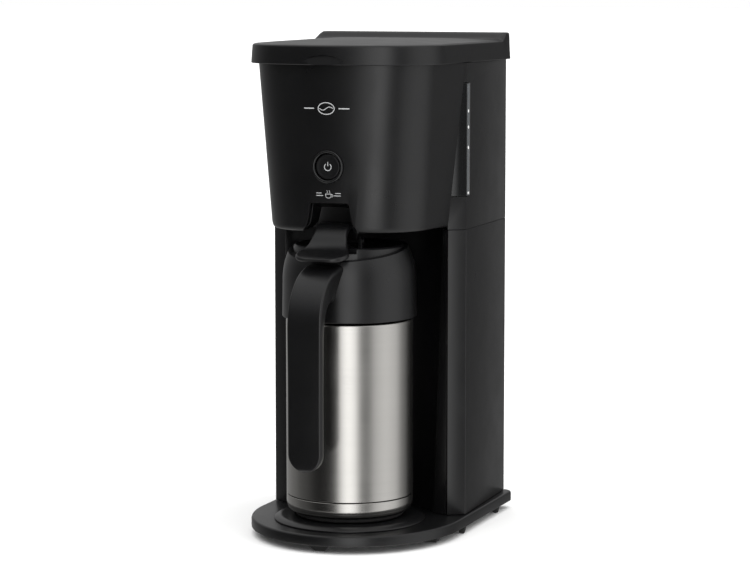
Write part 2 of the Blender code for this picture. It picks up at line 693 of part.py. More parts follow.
def build_head_floor():
    """Flat ceiling over the jug, with a channel for the lever and a hole for the drip nozzle."""
    low = HEAD_Z + GAP + 0.0005
    front = offset(head_path(0.0), -(CASE_WALL + 0.0022))
    keep = [p for p in front if p.y < FACET_END.y - 0.004]
    radius = JUG_RADIUS + BAY_TOP_ROOM + PANEL_WALL + 0.001
    sweep = math.acos((FACET_END.x - CASE_WALL) / radius)
    plan = keep + arc((0, 0), radius, math.pi - sweep, sweep, 16)
    floor = solid("head_floor", skin([level(plan, low), level(plan, low + FLOOR_THICKNESS)]))
    channel = NOTCH_BOTTOM_HALF + LINER_WALL + 2 * GAP
    combine(floor, solid("slot_floor", block(-channel, channel, HEAD_FRONT_TOP_Y - 0.01,
                                             NOTCH_BACK_Y + LINER_WALL + GAP, low - 0.01, low + 0.01)))
    hole = NOZZLE_RADIUS + 2 * GAP
    combine(floor, solid("hole_floor", turned([(0, low - 0.01), (hole, low - 0.01), (hole, low + 0.01),
                                               (0, low + 0.01)], sides=SMALL_ROUND)))


def build_lever_recess():
    """Hood over the thumb lever, open to the front and below, with a ceiling that drops inwards."""
    low = HEAD_Z + GAP + 0.0005
    behind_wall = CASE_WALL + NOTCH_BOTTOM_HALF**2 / (2 * HEAD_NOSE_RADIUS) + HEAD_EDGE_ROUND / 2 + GAP

    def front_ring(grow, floor_z, forward):
        """Cross-section that leans with the inside of the front shell."""
        return [(x, head_front_y(z) + behind_wall - forward, z) for x, z in notch_outline(grow, floor_z)]

    def back_ring(grow, floor_z, y):
        """Upright cross-section at the closed end, where the ceiling is lower."""
        return [(x, y, z - NOTCH_CEILING_DROP if z > NOTCH_TOP_Z - 0.001 else z)
                for x, z in notch_outline(grow, floor_z)]

    recess = solid("lever_recess", skin([front_ring(LINER_WALL, low, 0.0),
                                         back_ring(LINER_WALL, low, NOTCH_BACK_Y + LINER_WALL)]))
    combine(recess, solid("slot_recess", skin([front_ring(0.0, low - 0.01, 0.006),
                                               back_ring(0.0, low - 0.01, NOTCH_BACK_Y)])))


def build_button(shell):
    """Round bezel, sprung cap and the switch behind them."""
    face_y = head_front_y(BUTTON_Z) - 0.0004
    bore = BEZEL_RADIUS + GAP
    combine(shell, solid("hole_button", turned_forward([(0, -0.02), (bore, -0.02), (bore, 0.02), (0, 0.02)],
                                                       face_y, BUTTON_Z)))
    inner = CAP_RADIUS + 0.0005
    solid("button_bezel", turned_forward([
        (inner, 0.0004), (inner + 0.0006, 0.0), (BEZEL_RADIUS - 0.0004, 0.0), (BEZEL_RADIUS, 0.0006),
        (BEZEL_RADIUS, BEZEL_DEPTH), (inner, BEZEL_DEPTH)], face_y, BUTTON_Z), "gloss_black")
    pivot = (0.0, face_y, BUTTON_Z)
    cap_y = face_y + 0.0002
    solid("power_button", turned_forward([
        (0, 0.0), (CAP_RADIUS - 0.0006, 0.0), (CAP_RADIUS, 0.0006), (CAP_RADIUS, CAP_DEPTH),
        (0.0024, CAP_DEPTH), (0.0024, CAP_DEPTH + 0.003), (0, CAP_DEPTH + 0.003)],
        cap_y, BUTTON_Z), pivot=pivot)
    spring_y = cap_y + CAP_DEPTH + 0.0006
    switch_y = cap_y + CAP_DEPTH + 0.003 + BUTTON_TRAVEL + 0.0006
    turns = coil(0.0040, (0, spring_y, BUTTON_Z), (0, switch_y - 0.0006, BUTTON_Z), 3, (0, 1, 0))
    tube("button_spring", turns, 0.00025, "zinc_steel", 1)
    solid("switch_box", block(-0.010, 0.010, switch_y, switch_y + SWITCH_DEPTH,
                              BUTTON_Z - 0.0075, BUTTON_Z + 0.0075), "phenolic")


# ---------------------------------------------------------------- top lid

def lid_plan(inset=0.0):
    """Closed outline of the lid."""
    rear_radius = 0.006
    rear = Vector((LID_HALF_WIDTH - rear_radius, LID_BACK_Y - rear_radius))
    end = (LID_HALF_WIDTH, LID_BACK_Y - rear_radius)
    half = arc(rear, rear_radius, math.pi / 2, 0, 4)[:-1] + bow_half(
        end, LID_FRONT_Y, LID_NOSE_RADIUS, LID_CORNER_RADIUS, LID_FLARE)
    outline = mirrored(half)
    return offset(outline, -inset, closed=True) if inset else outline


def build_lid():
    """Hinged lid: a rim, a crowned top, a ridge along the back, two knuckles and a finger scoop."""
    pivot = (0.0, HINGE_Y, HINGE_Z)
    rings = [level(lid_plan(LID_WALL), LID_RIM_TOP_Z - LID_WALL), level(lid_plan(LID_WALL), LID_Z),
             level(lid_plan(), LID_Z), level(lid_plan(), LID_RIM_TOP_Z - 0.0012),
             level(lid_plan(0.0012), LID_RIM_TOP_Z)]
    middle = Vector((0.0, (LID_FRONT_Y + LID_BACK_Y) / 2))
    for scale, share in ((0.86, 0.42), (0.68, 0.84), (0.40, 1.0)):
        crown = [middle + scale * (p - middle) for p in lid_plan()]
        rings.append(level(crown, LID_RIM_TOP_Z + share * LID_CROWN))
    lid = solid("lid", skin(rings), pivot=pivot)

    front, back = LID_BACK_Y - LID_RIDGE_DEPTH, LID_BACK_Y - 0.0002
    foot_z, top_z = LID_RIM_TOP_Z - 0.0014, LID_RIM_TOP_Z + LID_RIDGE_RISE
    side, top_side = LID_HALF_WIDTH - 0.0016, LID_HALF_WIDTH - 0.006
    ridge = skin([level(box_plan(-side, side, front, back), foot_z),
                  level(box_plan(-top_side, top_side, front + 0.006, back - 0.0015), top_z)])
    combine(lid, solid("ridge", ridge), "UNION")
    for side, tag in ((1, "right"), (-1, "left")):
        build_knuckle(lid, side * KNUCKLE_X, tag)

    scoop_radius = ((SCOOP_WIDTH / 2) ** 2 + SCOOP_HEIGHT**2) / (2 * SCOOP_HEIGHT)
    scoop = turned_forward([(0, -0.01), (scoop_radius, -0.01), (scoop_radius, SCOOP_DEPTH), (0, SCOOP_DEPTH)],
                           LID_FRONT_Y, LID_Z + SCOOP_HEIGHT - scoop_radius, 64)
    combine(lid, solid("scoop", scoop))


def build_knuckle(lid, middle, tag):
    """One hinge knuckle behind the lid's rear wall, with its bore."""
    x0, x1 = middle - KNUCKLE_WIDTH / 2, middle + KNUCKLE_WIDTH / 2
    root_y = LID_BACK_Y - LID_WALL / 2
    profile = [(root_y, HINGE_Z + 0.0022), (root_y, HINGE_Z - 0.0022)] + [
        (p.x, p.y) for p in arc((HINGE_Y, HINGE_Z), KNUCKLE_RADIUS, -0.7 * math.pi, 0.7 * math.pi, 12)]
    knuckle = skin([[(x, y, z) for y, z in profile] for x in (x0, x1)])
    combine(lid, solid(f"knuckle_{tag}", knuckle), "UNION")
    combine(lid, solid(f"hole_knuckle_{tag}", rod(HINGE_PIN_RADIUS + GAP, x0 - 0.002, x1 + 0.002,
                                                  HINGE_Y, HINGE_Z)))


# ---------------------------------------------------------------- water path

def build_water_path():
    """Tank, check valve, hoses, heater with its safety parts, riser and spout."""
    right = side_x(TANK_BACK_Y) - CASE_WALL - 0.0008

    def tank_ring(inset, z):
        """One rectangular ring of the tank."""
        return level(box_plan(TANK_LEFT_X + inset, right - inset,
                              TANK_FRONT_Y + inset, TANK_BACK_Y - inset), z)

    solid("water_tank", skin([
        tank_ring(TANK_WALL, TANK_Z + TANK_WALL), tank_ring(TANK_WALL, TANK_TOP_Z), tank_ring(0, TANK_TOP_Z),
        tank_ring(0, TANK_Z)]), "clear_tank")
    valve_top = TANK_Z - GAP
    solid("check_valve", turned([
        (0, valve_top), (0.007, valve_top), (0.007, valve_top - 0.004), (0.0045, valve_top - 0.006),
        (0.0045, valve_top - 0.018), (0, valve_top - 0.018)], (OUTLET_X, OUTLET_Y), FINE_ROUND), "silicone")
    middle_y = HEATER_FRONT_Y + HEATER_DEPTH / 2
    inlet_x = HEATER_HALF_WIDTH - 0.010
    tube("inlet_hose", smooth_route([
        Vector((OUTLET_X, OUTLET_Y, valve_top - 0.018 - HOSE_END_GAP)),
        Vector((OUTLET_X, OUTLET_Y, valve_top - 0.060)),
        Vector((OUTLET_X - 0.006, middle_y, HEATER_TOP_Z + 0.050)),
        Vector((inlet_x, middle_y, HEATER_TOP_Z + 0.020)),
        Vector((inlet_x, middle_y, HEATER_TOP_Z + HOSE_END_GAP))]), HOSE_RADIUS, "silicone")
    solid("heater_block", tablet(-HEATER_HALF_WIDTH, HEATER_HALF_WIDTH, HEATER_FRONT_Y,
                                 HEATER_FRONT_Y + HEATER_DEPTH, HEATER_Z, HEATER_TOP_Z, 0.006), "aluminium")
    top = HEATER_TOP_Z + GAP
    solid("thermostat", turned([
        (0, top), (0.008, top), (0.008, top + 0.004), (0.006, top + 0.007), (0, top + 0.007)],
        (0.004, middle_y + 0.004), SMALL_ROUND), "phenolic")
    solid("thermal_fuse", rod(0.002, -0.008, 0.012, HEATER_FRONT_Y + 0.009, top + 0.002), "zinc_steel")
    riser_top = SPOUT_Z - HOSE_RADIUS - 0.006
    tube("riser_hose", smooth_route([
        Vector((-inlet_x, middle_y, HEATER_TOP_Z + HOSE_END_GAP)),
        Vector((-inlet_x, middle_y, HEATER_TOP_Z + 0.020)),
        Vector((RISER_X + 0.006, RISER_Y + 0.022, HEATER_TOP_Z + 0.060)),
        Vector((RISER_X, RISER_Y + 0.004, HEATER_TOP_Z + 0.100)),
        Vector((RISER_X, RISER_Y, SEAM_Z)),
        Vector((RISER_X, RISER_Y, riser_top))]), HOSE_RADIUS, "silicone")
    spout = [Vector((RISER_X, RISER_Y, z)) for z in (riser_top + HOSE_END_GAP, SPOUT_Z - 0.002)]
    for share, rise in ((0.85, 0.003), (0.45, 0.004), (0.12, 0.003), (0.0, 0.0)):
        spout.append(Vector((share * RISER_X, share * RISER_Y, SPOUT_Z + rise)))
    tube("water_spout", smooth_route(spout, 4), HOSE_RADIUS, "black_abs")
    rear_y = CASE_BACK_Y - CASE_WALL
    solid("terminal_block", block(0.014, 0.040, rear_y - 0.012, rear_y - 0.001, HEATER_Z, HEATER_Z + 0.012),
          "phenolic")


# ---------------------------------------------------------------- filter basket and drip stop

def oval(half_width, half_depth, z):
    """One ring of the basket, a little squarer than an ellipse."""
    ring = []
    for i in range(OVAL_STEPS):
        a = 2 * math.pi * i / OVAL_STEPS
        c, s = math.cos(a), math.sin(a)
        grow = (abs(c) ** 2.4 + abs(s) ** 2.4) ** (-1 / 2.4)
        ring.append((half_width * c * grow, half_depth * s * grow, z))
    return ring


def round_ring(radius, z):
    """A round ring with as many points as an oval one."""
    return level(arc((0, 0), radius, 0, 2 * math.pi, OVAL_STEPS)[:-1], z)


def build_basket():
    """Filter basket with its nozzle, the shower plate over it and the sprung drip stop in it."""
    wall = BASKET_WALL
    top, foot = BASKET_TOP_Z, BASKET_Z
    inner_floor = foot + wall
    nozzle_z = HEAD_Z - NOZZLE_DROP
    flange = 0.0018
    solid("filter_basket", skin([
        oval(BASKET_HALF_WIDTH + flange, BASKET_HALF_DEPTH + flange, top),
        oval(BASKET_HALF_WIDTH + flange, BASKET_HALF_DEPTH + flange, top - 0.0015),
        oval(BASKET_HALF_WIDTH, BASKET_HALF_DEPTH, top - 0.0025),
        oval(BASKET_FOOT_HALF_WIDTH, BASKET_FOOT_HALF_DEPTH, foot), round_ring(NOZZLE_RADIUS, foot - 0.002),
        round_ring(NOZZLE_RADIUS, nozzle_z), round_ring(NOZZLE_BORE, nozzle_z),
        round_ring(NOZZLE_BORE, inner_floor - 0.0005),
        oval(BASKET_FOOT_HALF_WIDTH - wall, BASKET_FOOT_HALF_DEPTH - wall, inner_floor),
        oval(BASKET_HALF_WIDTH - wall, BASKET_HALF_DEPTH - wall, top - 0.0025),
        oval(BASKET_HALF_WIDTH - wall, BASKET_HALF_DEPTH - wall, top)], closed=True))

    plate_z = top + GAP
    plate = solid("shower_plate", skin([
        oval(BASKET_HALF_WIDTH, BASKET_HALF_DEPTH, z) for z in (plate_z, plate_z + 0.0014)]))
    for i in range(6):
        a = math.pi * (i + 0.5) / 3
        spot = (0.024 * math.cos(a), 0.016 * math.sin(a))
        combine(plate, solid(f"hole_shower_{i}", turned([
            (0, plate_z - 0.002), (0.0020, plate_z - 0.002), (0.0020, plate_z + 0.004),
            (0, plate_z + 0.004)], spot, 10)))

    seat = inner_floor + GAP
    head_top = seat + 0.002
    guide_top = seat + CAGE_HEIGHT - 0.0016
    solid("drip_valve", turned([
        (0, VALVE_TIP_Z), (0.0014, VALVE_TIP_Z), (VALVE_STEM_RADIUS, VALVE_TIP_Z + 0.001),
        (VALVE_STEM_RADIUS, seat), (VALVE_RADIUS, seat), (VALVE_RADIUS, head_top), (0.0018, head_top),
        (0.0018, guide_top), (0, guide_top)],
        sides=FINE_ROUND), "silicone", (0.0, 0.0, seat))
    cage_top = seat + CAGE_HEIGHT
    cage = solid("valve_cage", turned([
        (0.0023, cage_top - 0.0014), (0.0023, cage_top), (CAGE_RADIUS - 0.001, cage_top),
        (CAGE_RADIUS, cage_top - 0.001), (CAGE_RADIUS, seat), (CAGE_RADIUS - 0.0014, seat),
        (CAGE_RADIUS - 0.0014, cage_top - 0.0014)], sides=SMALL_ROUND))
    port_top = seat + 0.006
    for name, port in (("x", block(-0.02, 0.02, -0.003, 0.003, seat - 0.004, port_top)),
                       ("y", block(-0.003, 0.003, -0.02, 0.02, seat - 0.004, port_top))):
        combine(cage, solid(f"port_cage_{name}", port))
    turns = coil(0.0042, (0, 0, head_top + 0.0006), (0, 0, cage_top - 0.0020), 4, (0, 0, 1))
    tube("valve_spring", turns, 0.0003, "zinc_steel", 1)


# ---------------------------------------------------------------- jug

def collar_outline(proud=0.0):
    """Outer side of the collar as (radius, height) points, from the steel up to the rim."""
    radius = JUG_RADIUS + COLLAR_PROUD + proud
    top = JUG_LID_TOP_Z - GAP
    knee = top - 0.024
    rim = radius - COLLAR_RIM_INSET
    curve = bezier((radius - 0.0004, knee), (radius - 0.0009, knee + 0.012),
                   (rim + 0.0024, top - 0.007), (rim, top), 6)
    return [(radius, COLLAR_Z)] + [(p.x, p.y) for p in curve]


def build_jug():
    """Double-walled steel vessel, base cap and pad, collar, lid with its gasket, handle and thumb lever."""
    build_vessel()
    rim = JUG_RADIUS + COLLAR_PROUD - COLLAR_RIM_INSET
    inner_rim = rim - COLLAR_RIM_WALL
    lid_z = JUG_LID_TOP_Z - JUG_LID_HEIGHT
    flange = 0.0024
    inner = JUG_RADIUS + 0.0006
    neck_out = JUG_NECK_RADIUS + 0.003
    collar = solid("jug_collar", turned(collar_outline() + [
        (inner_rim, JUG_LID_TOP_Z - GAP), (inner_rim, lid_z), (neck_out, lid_z), (neck_out, lid_z - flange),
        (inner - 0.0030, lid_z - flange), (inner, lid_z - flange - 0.009), (inner, COLLAR_Z)]))
    lift = Matrix.Translation((0, 0, JUG_LID_TOP_Z - COLLAR_RIM_DROP))
    plane = lift @ Matrix.Rotation(COLLAR_SLOPE, 4, "X")
    wedge = block(-0.08, 0.08, -0.09, 0.09, 0.0, 0.04)
    bmesh.ops.transform(wedge, verts=wedge.verts, matrix=plane)
    combine(collar, solid("slope_collar", wedge))
    build_jug_lid(inner_rim - 0.0004, lid_z)
    build_handle()
    build_lever()


def build_vessel():
    """Steel vessel, open between its walls at the bottom, and the cap and pad that close it."""
    r, wall = JUG_RADIUS, JUG_WALL
    low = JUG_Z + JUG_CAP_HEIGHT + JUG_GROOVE
    shoulder, neck = STEEL_TOP_Z - 0.001, STEEL_TOP_Z + JUG_SHOULDER_HEIGHT
    flask = r - 2 * wall - JUG_VACUUM
    bottom = JUG_Z + 0.009
    mouth = JUG_NECK_RADIUS
    solid("jug_vessel", turned([
        (0, bottom), (flask - 0.005, bottom), (flask, bottom + 0.005), (flask, shoulder - 0.004),
        (mouth, neck - 0.003), (mouth, LIP_Z), (mouth + 2.6 * wall, LIP_Z), (mouth + 2.6 * wall, neck),
        (r - 0.003, shoulder + 0.002), (r, shoulder), (r, low),
        (r - wall, low), (r - wall, shoulder - 0.0006), (mouth + 1.8 * wall, neck - 0.0012),
        (mouth + 1.8 * wall, LIP_Z - 0.003), (mouth + wall, LIP_Z - 0.003), (mouth + wall, neck - 0.0026),
        (flask + wall, shoulder - 0.0036), (flask + wall, bottom + 0.0047), (flask - 0.0047, bottom - wall),
        (0, bottom - wall)]), "brushed_steel")
    cap_top = JUG_Z + JUG_CAP_HEIGHT
    solid("jug_base_cap", turned([
        (0, JUG_Z + 0.0012), (r - 0.006, JUG_Z + 0.0012), (r - 0.0022, JUG_Z + 0.004),
        (r - wall, JUG_Z + 0.0066), (r - wall, cap_top), (r, cap_top), (r, JUG_Z + 0.006),
        (r - 0.0014, JUG_Z + 0.0022),
        (r - 0.0045, JUG_Z), (0, JUG_Z)]), "brushed_steel")
    pad = r - 0.0065
    solid("jug_base_pad", turned([
        (0, JUG_PAD_Z), (pad - 0.001, JUG_PAD_Z), (pad, JUG_PAD_Z + 0.001), (pad, JUG_Z - GAP),
        (0, JUG_Z - GAP)]), "rubber")


def build_jug_lid(radius, low):
    """Lid and plug in one, with a drip inlet, a pouring port, pin lugs, the gasket and the pour valve."""
    top = JUG_LID_TOP_Z
    plug_z = low - PLUG_DEPTH
    groove_z = plug_z + 0.006
    lid = solid("jug_lid", turned([
        (0, top - 0.0014), (radius - 0.008, top - 0.0014), (radius - 0.004, top), (radius - 0.0012, top),
        (radius, top - 0.0012), (radius, low + GAP), (PLUG_RADIUS, low + GAP),
        (PLUG_RADIUS, groove_z + 0.003), (PLUG_RADIUS - 0.0015, groove_z + 0.003),
        (PLUG_RADIUS - 0.0015, groove_z), (PLUG_RADIUS, groove_z),
        (PLUG_RADIUS, plug_z), (0, plug_z)]))
    seal_in, seal_out = PLUG_RADIUS - 0.0015 + GAP, JUG_NECK_RADIUS - GAP
    solid("jug_gasket", turned([
        (seal_in, groove_z + GAP), (seal_out, groove_z + 0.0008), (seal_out, groove_z + 0.0022),
        (seal_in, groove_z + 0.003 - GAP)]), "silicone")
    for x, tag in ((LEVER_HALF_WIDTH + 2 * GAP, "right"), (-LEVER_HALF_WIDTH - 2 * GAP - 0.0028, "left")):
        profile = [(LEVER_PIVOT_Y + 0.0030, top - 0.004), (LEVER_PIVOT_Y - 0.0030, top - 0.004)] + [
            (p.x, p.y) for p in arc((LEVER_PIVOT_Y, LEVER_Z), 0.0030, math.pi, 0, 8)]
        lug = skin([[(side, y, z) for y, z in profile] for side in (x, x + 0.0028)])
        combine(lid, solid(f"lug_lever_{tag}", lug), "UNION")
    pin_reach = LEVER_HALF_WIDTH + 2 * GAP + 0.0028
    combine(lid, solid("hole_lever_pin", rod(PIN_RADIUS + GAP, -0.02, 0.02, LEVER_PIVOT_Y, LEVER_Z)))
    half = LEVER_PAD_HALF_WIDTH
    combine(lid, solid("slot_lever_travel", block(-half, half, -JUG_RADIUS, LEVER_SLOT_BACK_Y,
                                                  top - LEVER_SLOT_DEPTH, top + 0.01)))
    for name, y, radius in (("inlet", 0.0, DRIP_INLET_RADIUS), ("port", PORT_Y, PORT_RADIUS)):
        combine(lid, solid(f"hole_{name}", turned([
            (0, plug_z - 0.01), (radius, plug_z - 0.01), (radius, top + 0.01), (0, top + 0.01)],
            (0.0, y), SMALL_ROUND)))
    solid("lever_pin", rod(PIN_RADIUS, -pin_reach, pin_reach, LEVER_PIVOT_Y, LEVER_Z), "zinc_steel")
    valve_top = plug_z - GAP
    stem_top = top + POUR_STEM_RISE
    disc = PORT_RADIUS + 0.0012
    solid("pour_valve", turned([
        (0, valve_top - 0.0025), (disc, valve_top - 0.0025), (disc, valve_top), (0.0016, valve_top),
        (0.0016, stem_top), (0, stem_top)], (0.0, PORT_Y), FINE_ROUND), "silicone",
        (0.0, PORT_Y, valve_top))


def build_handle():
    """Cantilever handle: a root on the collar, an arch forwards and a strap down to a round tip."""
    top = JUG_LID_TOP_Z - 0.0105
    root = top - HANDLE_ROOT_HEIGHT
    outer_y, inner_y = -HANDLE_REACH, HANDLE_THICKNESS - HANDLE_REACH
    bend_z = top - 0.042
    start_y = 0.006 - JUG_RADIUS
    over = bezier((start_y, top), (start_y - 0.022, top), (outer_y, top - 0.012), (outer_y, bend_z), 10)
    under = bezier((inner_y, bend_z - 0.014), (inner_y, bend_z + 0.026), (start_y - 0.018, root + 0.010),
                   (start_y, root), 10)
    tip = [Vector((outer_y, HANDLE_TIP_Z)), Vector((inner_y, HANDLE_TIP_Z))]
    profile = over + tip + under
    half = HANDLE_WIDTH / 2
    handle = solid("jug_handle", skin([[(x, p.x, p.y) for p in profile] for x in (-half, half)]))
    bow = arc((0, HANDLE_TIP_Z + half), half, math.pi, 2 * math.pi, 14)
    tongue = [Vector((half, top + 0.01)), Vector((-half, top + 0.01))] + bow
    shape = skin([[(p.x * TOOL_OVERSIZE, y, p.y) for p in tongue] for y in (outer_y - 0.01, 0.0)])
    combine(handle, solid("tongue_handle", shape), "INTERSECT")
    foot, *side = collar_outline(GAP)
    below, above = COLLAR_Z - 0.03, JUG_LID_TOP_Z + 0.01
    combine(handle, solid("room_collar", turned(
        [(0, below), (foot[0], below), *side, (side[-1][0], above), (0, above)])))


def build_lever():
    """Thumb lever: a pad over the handle, a hump into the head's notch and a knuckle on its pin."""
    z = JUG_LID_TOP_Z
    stations = [
        (-0.0640, z - 0.0066, 0.0080, 0.0016), (-0.0630, z - 0.0064, 0.0125, 0.0026),
        (-0.0590, z - 0.0056, 0.0178, 0.0036), (-0.0520, z - 0.0040, LEVER_PAD_HALF_WIDTH, 0.0040),
        (-0.0460, z - 0.0018, 0.0180, 0.0042), (-0.0410, z + 0.0025, 0.0150, 0.0042),
        (-0.0365, z + 0.0088, LEVER_HALF_WIDTH, 0.0042), (-0.0310, z + 0.0140, LEVER_HALF_WIDTH, 0.0042),
        (-0.0250, z + 0.0152, LEVER_HALF_WIDTH, 0.0042), (-0.0195, z + 0.0118, LEVER_HALF_WIDTH, 0.0042),
        (-0.0158, z + 0.0070, LEVER_HALF_WIDTH, 0.0042), (LEVER_PIVOT_Y, LEVER_Z, LEVER_HALF_WIDTH, 0.0040)]
    rings = []
    for i, (y, height, half, thick) in enumerate(stations):
        before, after = stations[max(i - 1, 0)], stations[min(i + 1, len(stations) - 1)]
        run = Vector((after[0] - before[0], after[1] - before[1])).normalized()
        ring = []
        for k in range(16):
            a = 2 * math.pi * k / 16
            c, s = math.cos(a), math.sin(a)
            grow = (abs(c) ** 4 + abs(s) ** 4) ** -0.25
            rise = 0.5 * thick * s * grow
            ring.append((half * c * grow, y - run.y * rise, height + run.x * rise))
        rings.append(ring)
    pivot = (0.0, LEVER_PIVOT_Y, LEVER_Z)
    lever = solid("thumb_lever", skin(rings), pivot=pivot)
    knuckle = rod(0.0028, -LEVER_HALF_WIDTH, LEVER_HALF_WIDTH, LEVER_PIVOT_Y, LEVER_Z)
    combine(lever, solid("knuckle_lever", knuckle), "UNION")
    combine(lever, solid("hole_lever", rod(PIN_RADIUS + GAP, -0.03, 0.03, LEVER_PIVOT_Y, LEVER_Z)))


# ---------------------------------------------------------------- assembly

for old in list(bpy.data.objects):
    bpy.data.objects.remove(old)
MACHINE = bpy.data.objects.new("coffee_maker", None)
bpy.context.collection.objects.link(MACHINE)
MACHINE.location = (0.0, ROW_Y, 0.0)

build_base()
build_column()
build_housing()
build_head()
build_lid()
build_water_path()
build_basket()
build_jug()
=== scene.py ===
import logging
import math
from dataclasses import dataclass, field
from enum import Enum
from typing import Callable, Iterable, Optional, Sequence

import bmesh
import bpy
from mathutils import Matrix, Vector


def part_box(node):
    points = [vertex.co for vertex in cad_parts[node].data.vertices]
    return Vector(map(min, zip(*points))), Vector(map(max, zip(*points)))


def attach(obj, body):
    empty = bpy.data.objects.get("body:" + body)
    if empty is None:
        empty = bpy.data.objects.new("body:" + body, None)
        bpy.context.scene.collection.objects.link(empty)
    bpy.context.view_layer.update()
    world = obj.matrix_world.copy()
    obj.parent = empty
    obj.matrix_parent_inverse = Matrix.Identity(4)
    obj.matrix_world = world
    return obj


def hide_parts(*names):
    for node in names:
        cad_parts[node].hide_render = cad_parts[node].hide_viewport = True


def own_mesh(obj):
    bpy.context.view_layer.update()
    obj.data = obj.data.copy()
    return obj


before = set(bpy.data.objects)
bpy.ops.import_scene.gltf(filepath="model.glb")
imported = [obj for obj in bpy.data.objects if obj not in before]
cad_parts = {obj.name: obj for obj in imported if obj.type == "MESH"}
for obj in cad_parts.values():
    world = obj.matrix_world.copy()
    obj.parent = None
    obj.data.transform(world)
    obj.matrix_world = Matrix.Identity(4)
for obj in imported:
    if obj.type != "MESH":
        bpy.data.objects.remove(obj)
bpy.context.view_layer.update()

LOG = logging.getLogger("coffee_maker")

Pair = tuple[float, float]
Triple = tuple[float, float, float]
Socket = bpy.types.NodeSocket

# Places that the sub-assemblies share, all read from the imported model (metres).
JUG_LOW, JUG_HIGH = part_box("jug_vessel")
JUG_Y = (JUG_LOW.y + JUG_HIGH.y) / 2
JUG_RADIUS = (JUG_HIGH.x - JUG_LOW.x) / 2
HEAD_LOW, HEAD_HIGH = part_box("head_front_shell")
HEAD_Z, CASE_TOP = HEAD_LOW.z, HEAD_HIGH.z

# Points closer than this are one point, and faces that turn by less than this are one face.
WELD = 2e-6
FLAT_ANGLE = math.radians(0.6)


class Body(Enum):
    """Moving bodies of the machine."""

    MACHINE = "machine"
    LID = "lid"
    JUG = "jug"
    LEVER = "thumb_lever"
    BUTTON = "power_button"


class Cut(Enum):
    """What a tool does to the stock that it meets."""

    TAKE = "DIFFERENCE"
    ADD = "UNION"


# ---------------------------------------------------------------- colours and nodes

def linear(code: str) -> tuple[float, float, float, float]:
    """Turn an sRGB hex colour into linear RGBA.

    Args:
        code: six hex digits after a hash.
    Returns:
        Linear red, green, blue and an alpha of one.
    """
    parts = [int(code[i:i + 2], 16) / 255 for i in (1, 3, 5)]
    red, green, blue = (p / 12.92 if p <= 0.04045 else ((p + 0.055) / 1.055) ** 2.4 for p in parts)
    return red, green, blue, 1.0


def add_node(tree: bpy.types.NodeTree, kind: str, inputs: Optional[dict] = None,
             **settings: object) -> bpy.types.Node:
    """Add a node with its settings, values and links.

    Args:
        tree: the node tree that gets it.
        kind: the node's type name, without its prefix.
        inputs: values or sockets for its inputs, by name or number.
        settings: the node's own properties.
    Returns:
        The new node.
    """
    node = tree.nodes.new("ShaderNode" + kind)
    for name, value in settings.items():
        setattr(node, name, value)
    for name, value in (inputs or {}).items():
        if isinstance(value, bpy.types.NodeSocket):
            tree.links.new(value, node.inputs[name])
        else:
            node.inputs[name].default_value = value
    return node


def ramp_stops(node: bpy.types.Node, stops: Sequence[tuple[float, Sequence[float]]]) -> Socket:
    """Fill a colour ramp.

    Args:
        node: the ramp.
        stops: places from 0 to 1 with their linear colours.
    Returns:
        The ramp's colour output.
    """
    ramp = node.color_ramp
    while len(ramp.elements) < len(stops):
        ramp.elements.new(1.0)
    for element, (place, colour) in zip(ramp.elements, stops):
        element.position = place
        element.color = colour
    return node.outputs["Color"]


# ---------------------------------------------------------------- finishes

@dataclass(frozen=True)
class Finish:
    """A surface finish; each kind of making adds its own pattern."""

    name: str
    slot: str
    colour: str
    roughness: float
    metallic: float = 0.0
    ior: float = 1.5
    specular: float = 0.5
    coat: float = 0.0
    transmission: float = 0.0
    anisotropy: float = 0.0

    def material(self) -> bpy.types.Material:
        """Make the material on first use.

        Returns:
            The material.
        """
        if self.name in bpy.data.materials:
            return bpy.data.materials[self.name]
        made = bpy.data.materials.new(self.name)
        made.use_nodes = True
        tree = made.node_tree
        shader = tree.nodes["Principled BSDF"]
        for socket, value in (("Base Color", linear(self.colour)), ("Roughness", self.roughness),
                              ("Metallic", self.metallic), ("IOR", self.ior),
                              ("Specular IOR Level", self.specular), ("Coat Weight", self.coat),
                              ("Transmission Weight", self.transmission), ("Anisotropic", self.anisotropy)):
            shader.inputs[socket].default_value = value
        place = tree.nodes.new("ShaderNodeTexCoord").outputs["Object"]
        self.pattern(tree, shader, place)
        return made

    def pattern(self, tree: bpy.types.NodeTree, shader: bpy.types.Node, place: Socket) -> None:
        """Add the surface's own texture.

        Args:
            tree: the material's nodes.
            shader: its Principled shader.
            place: object coordinates in metres.
        """
        raise NotImplementedError

    def mottle(self, tree: bpy.types.NodeTree, place: Socket, size_mm: float, low: Sequence[float],
               high: Sequence[float], detail: float = 4.0) -> Socket:
        """Blend two colours over soft patches.

        Args:
            tree: the material's nodes.
            place: object coordinates in metres.
            size_mm: size of a patch.
            low: linear colour of the darker patches.
            high: linear colour of the lighter patches.
            detail: octaves of the patches.
        Returns:
            The blended colour.
        """
        noise = add_node(tree, "TexNoise", {"Vector": place, "Scale": 1000 / size_mm, "Detail": detail})
        ramp = add_node(tree, "ValToRGB", {"Fac": noise.outputs["Fac"]})
        return ramp_stops(ramp, ((0.32, low), (0.68, high)))

    def shade(self, factor: float) -> tuple[float, float, float, float]:
        """The finish's linear colour made lighter or darker."""
        red, green, blue, _ = linear(self.colour)
        return red * factor, green * factor, blue * factor, 1.0


